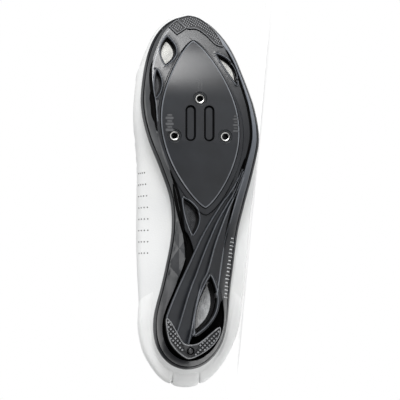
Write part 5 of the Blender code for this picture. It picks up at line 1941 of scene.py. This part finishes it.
def main():
    for piece in list(bpy.data.objects):
        if piece.type in ("LIGHT", "CAMERA"):
            bpy.data.objects.remove(piece)
    sole = sole_material("sole_composite", SOLE_DARK, SOLE_LIGHT)
    # Near-black matte for the sole's recesses, grooves and walls: painted shade.
    painted_shade = plain_material("sole_painted_shade", (0.002, 0.002, 0.002), 0.8)
    painted_shade.node_tree.nodes["Principled BSDF"].inputs["Specular IOR Level"].default_value = 0.1
    # A lighter copy of the composite for the edges: painted highlight.
    edges = sole_material("sole_painted_edge_highlight", (0.13, 0.14, 0.155), (0.18, 0.19, 0.21))
    # Lighter copies of the composite on the outer and inner rims, fading in along the shoe: painted
    # reflection.
    outer_rim_painted_reflection = sole_material("sole_outer_rim_painted_reflection", (0.15, 0.165, 0.19), (0.19, 0.205, 0.23), (0.10, 0.18))
    inner_rim_painted_reflection = sole_material("sole_inner_rim_painted_reflection", (0.055, 0.057, 0.060), (0.08, 0.083, 0.087), (0.04, 0.09))
    rubber = rubber_material("tread_rubber", (0.018, 0.019, 0.021), (0.04, 0.04, 0.042))
    # Light grey for stud tops and pad borders: partly wear, partly a painted highlight.
    wear_and_highlight = rubber_material("tread_tops_wear_and_highlight", (0.20, 0.205, 0.215), (0.30, 0.305, 0.315))
    steel = steel_material("turned_steel", (0.56, 0.56, 0.54), (0.78, 0.78, 0.76))
    # Dark steel: the screw head's own colour, and painted shade in the nuts' bores.
    dark_steel_and_bore_shade = steel_material("dark_steel_and_bore_shade", (0.05, 0.05, 0.052), (0.12, 0.12, 0.125))
    white = leather_material("upper_leather", (0.80, 0.805, 0.80), (0.74, 0.75, 0.755), 0.55, 1100, 0.00006)
    trim = leather_material("overlay_leather", (0.84, 0.845, 0.84), (0.79, 0.80, 0.80), 0.42, 1700, 0.00004)
    thread = cloth_material("stitch_thread", (0.70, 0.70, 0.69), (0.80, 0.80, 0.79), 0.6)
    lining = cloth_material("lining_cloth", (0.035, 0.037, 0.040), (0.060, 0.062, 0.066), 0.9)
    foam = cloth_material("insole_cloth", (0.10, 0.105, 0.11), (0.17, 0.175, 0.18), 0.9)
    padding = cloth_material("tongue_cloth", (0.66, 0.67, 0.67), (0.76, 0.765, 0.76), 0.8)
    cream = cloth_material("mesh_pale", (0.58, 0.58, 0.56), (0.72, 0.72, 0.69), 0.8)
    silver = cloth_material("mesh_silver", (0.62, 0.63, 0.64), (0.90, 0.91, 0.92), 0.5)
    charcoal = cloth_material("mesh_dark", (0.030, 0.031, 0.034), (0.085, 0.088, 0.095), 0.7)
    pale = plain_material("rim_print", (0.55, 0.56, 0.57), 0.5)
    # Moulded scale lines, a little lighter than the sole: painted highlight.
    scale_highlight = plain_material("scale_painted_highlight", (0.05, 0.052, 0.056), 0.4)
    hollow = plain_material("hole_dark", (0.10, 0.10, 0.10), 0.9)
    # Near-black sheet behind each vent's weave: painted shade.
    vent_shade_backing = plain_material("vent_painted_shade", (0.006, 0.006, 0.007), 0.8)
    weaves = dict(zip(VENTS, (cream, cream, charcoal, charcoal, silver)))

    make_camera()
    make_outsole(sole, painted_shade, edges, outer_rim_painted_reflection, inner_rim_painted_reflection)
    make_pads(rubber, wear_and_highlight)
    make_fastenings(steel, dark_steel_and_bore_shade)
    make_vents(weaves, vent_shade_backing)
    make_insole(foam)
    make_upper(white, lining)
    make_overlays(trim, thread)
    make_tongue(padding)
    make_marks(pale, scale_highlight, painted_shade)
    make_holes(hollow)
    make_surroundings()
    make_lights()


main()
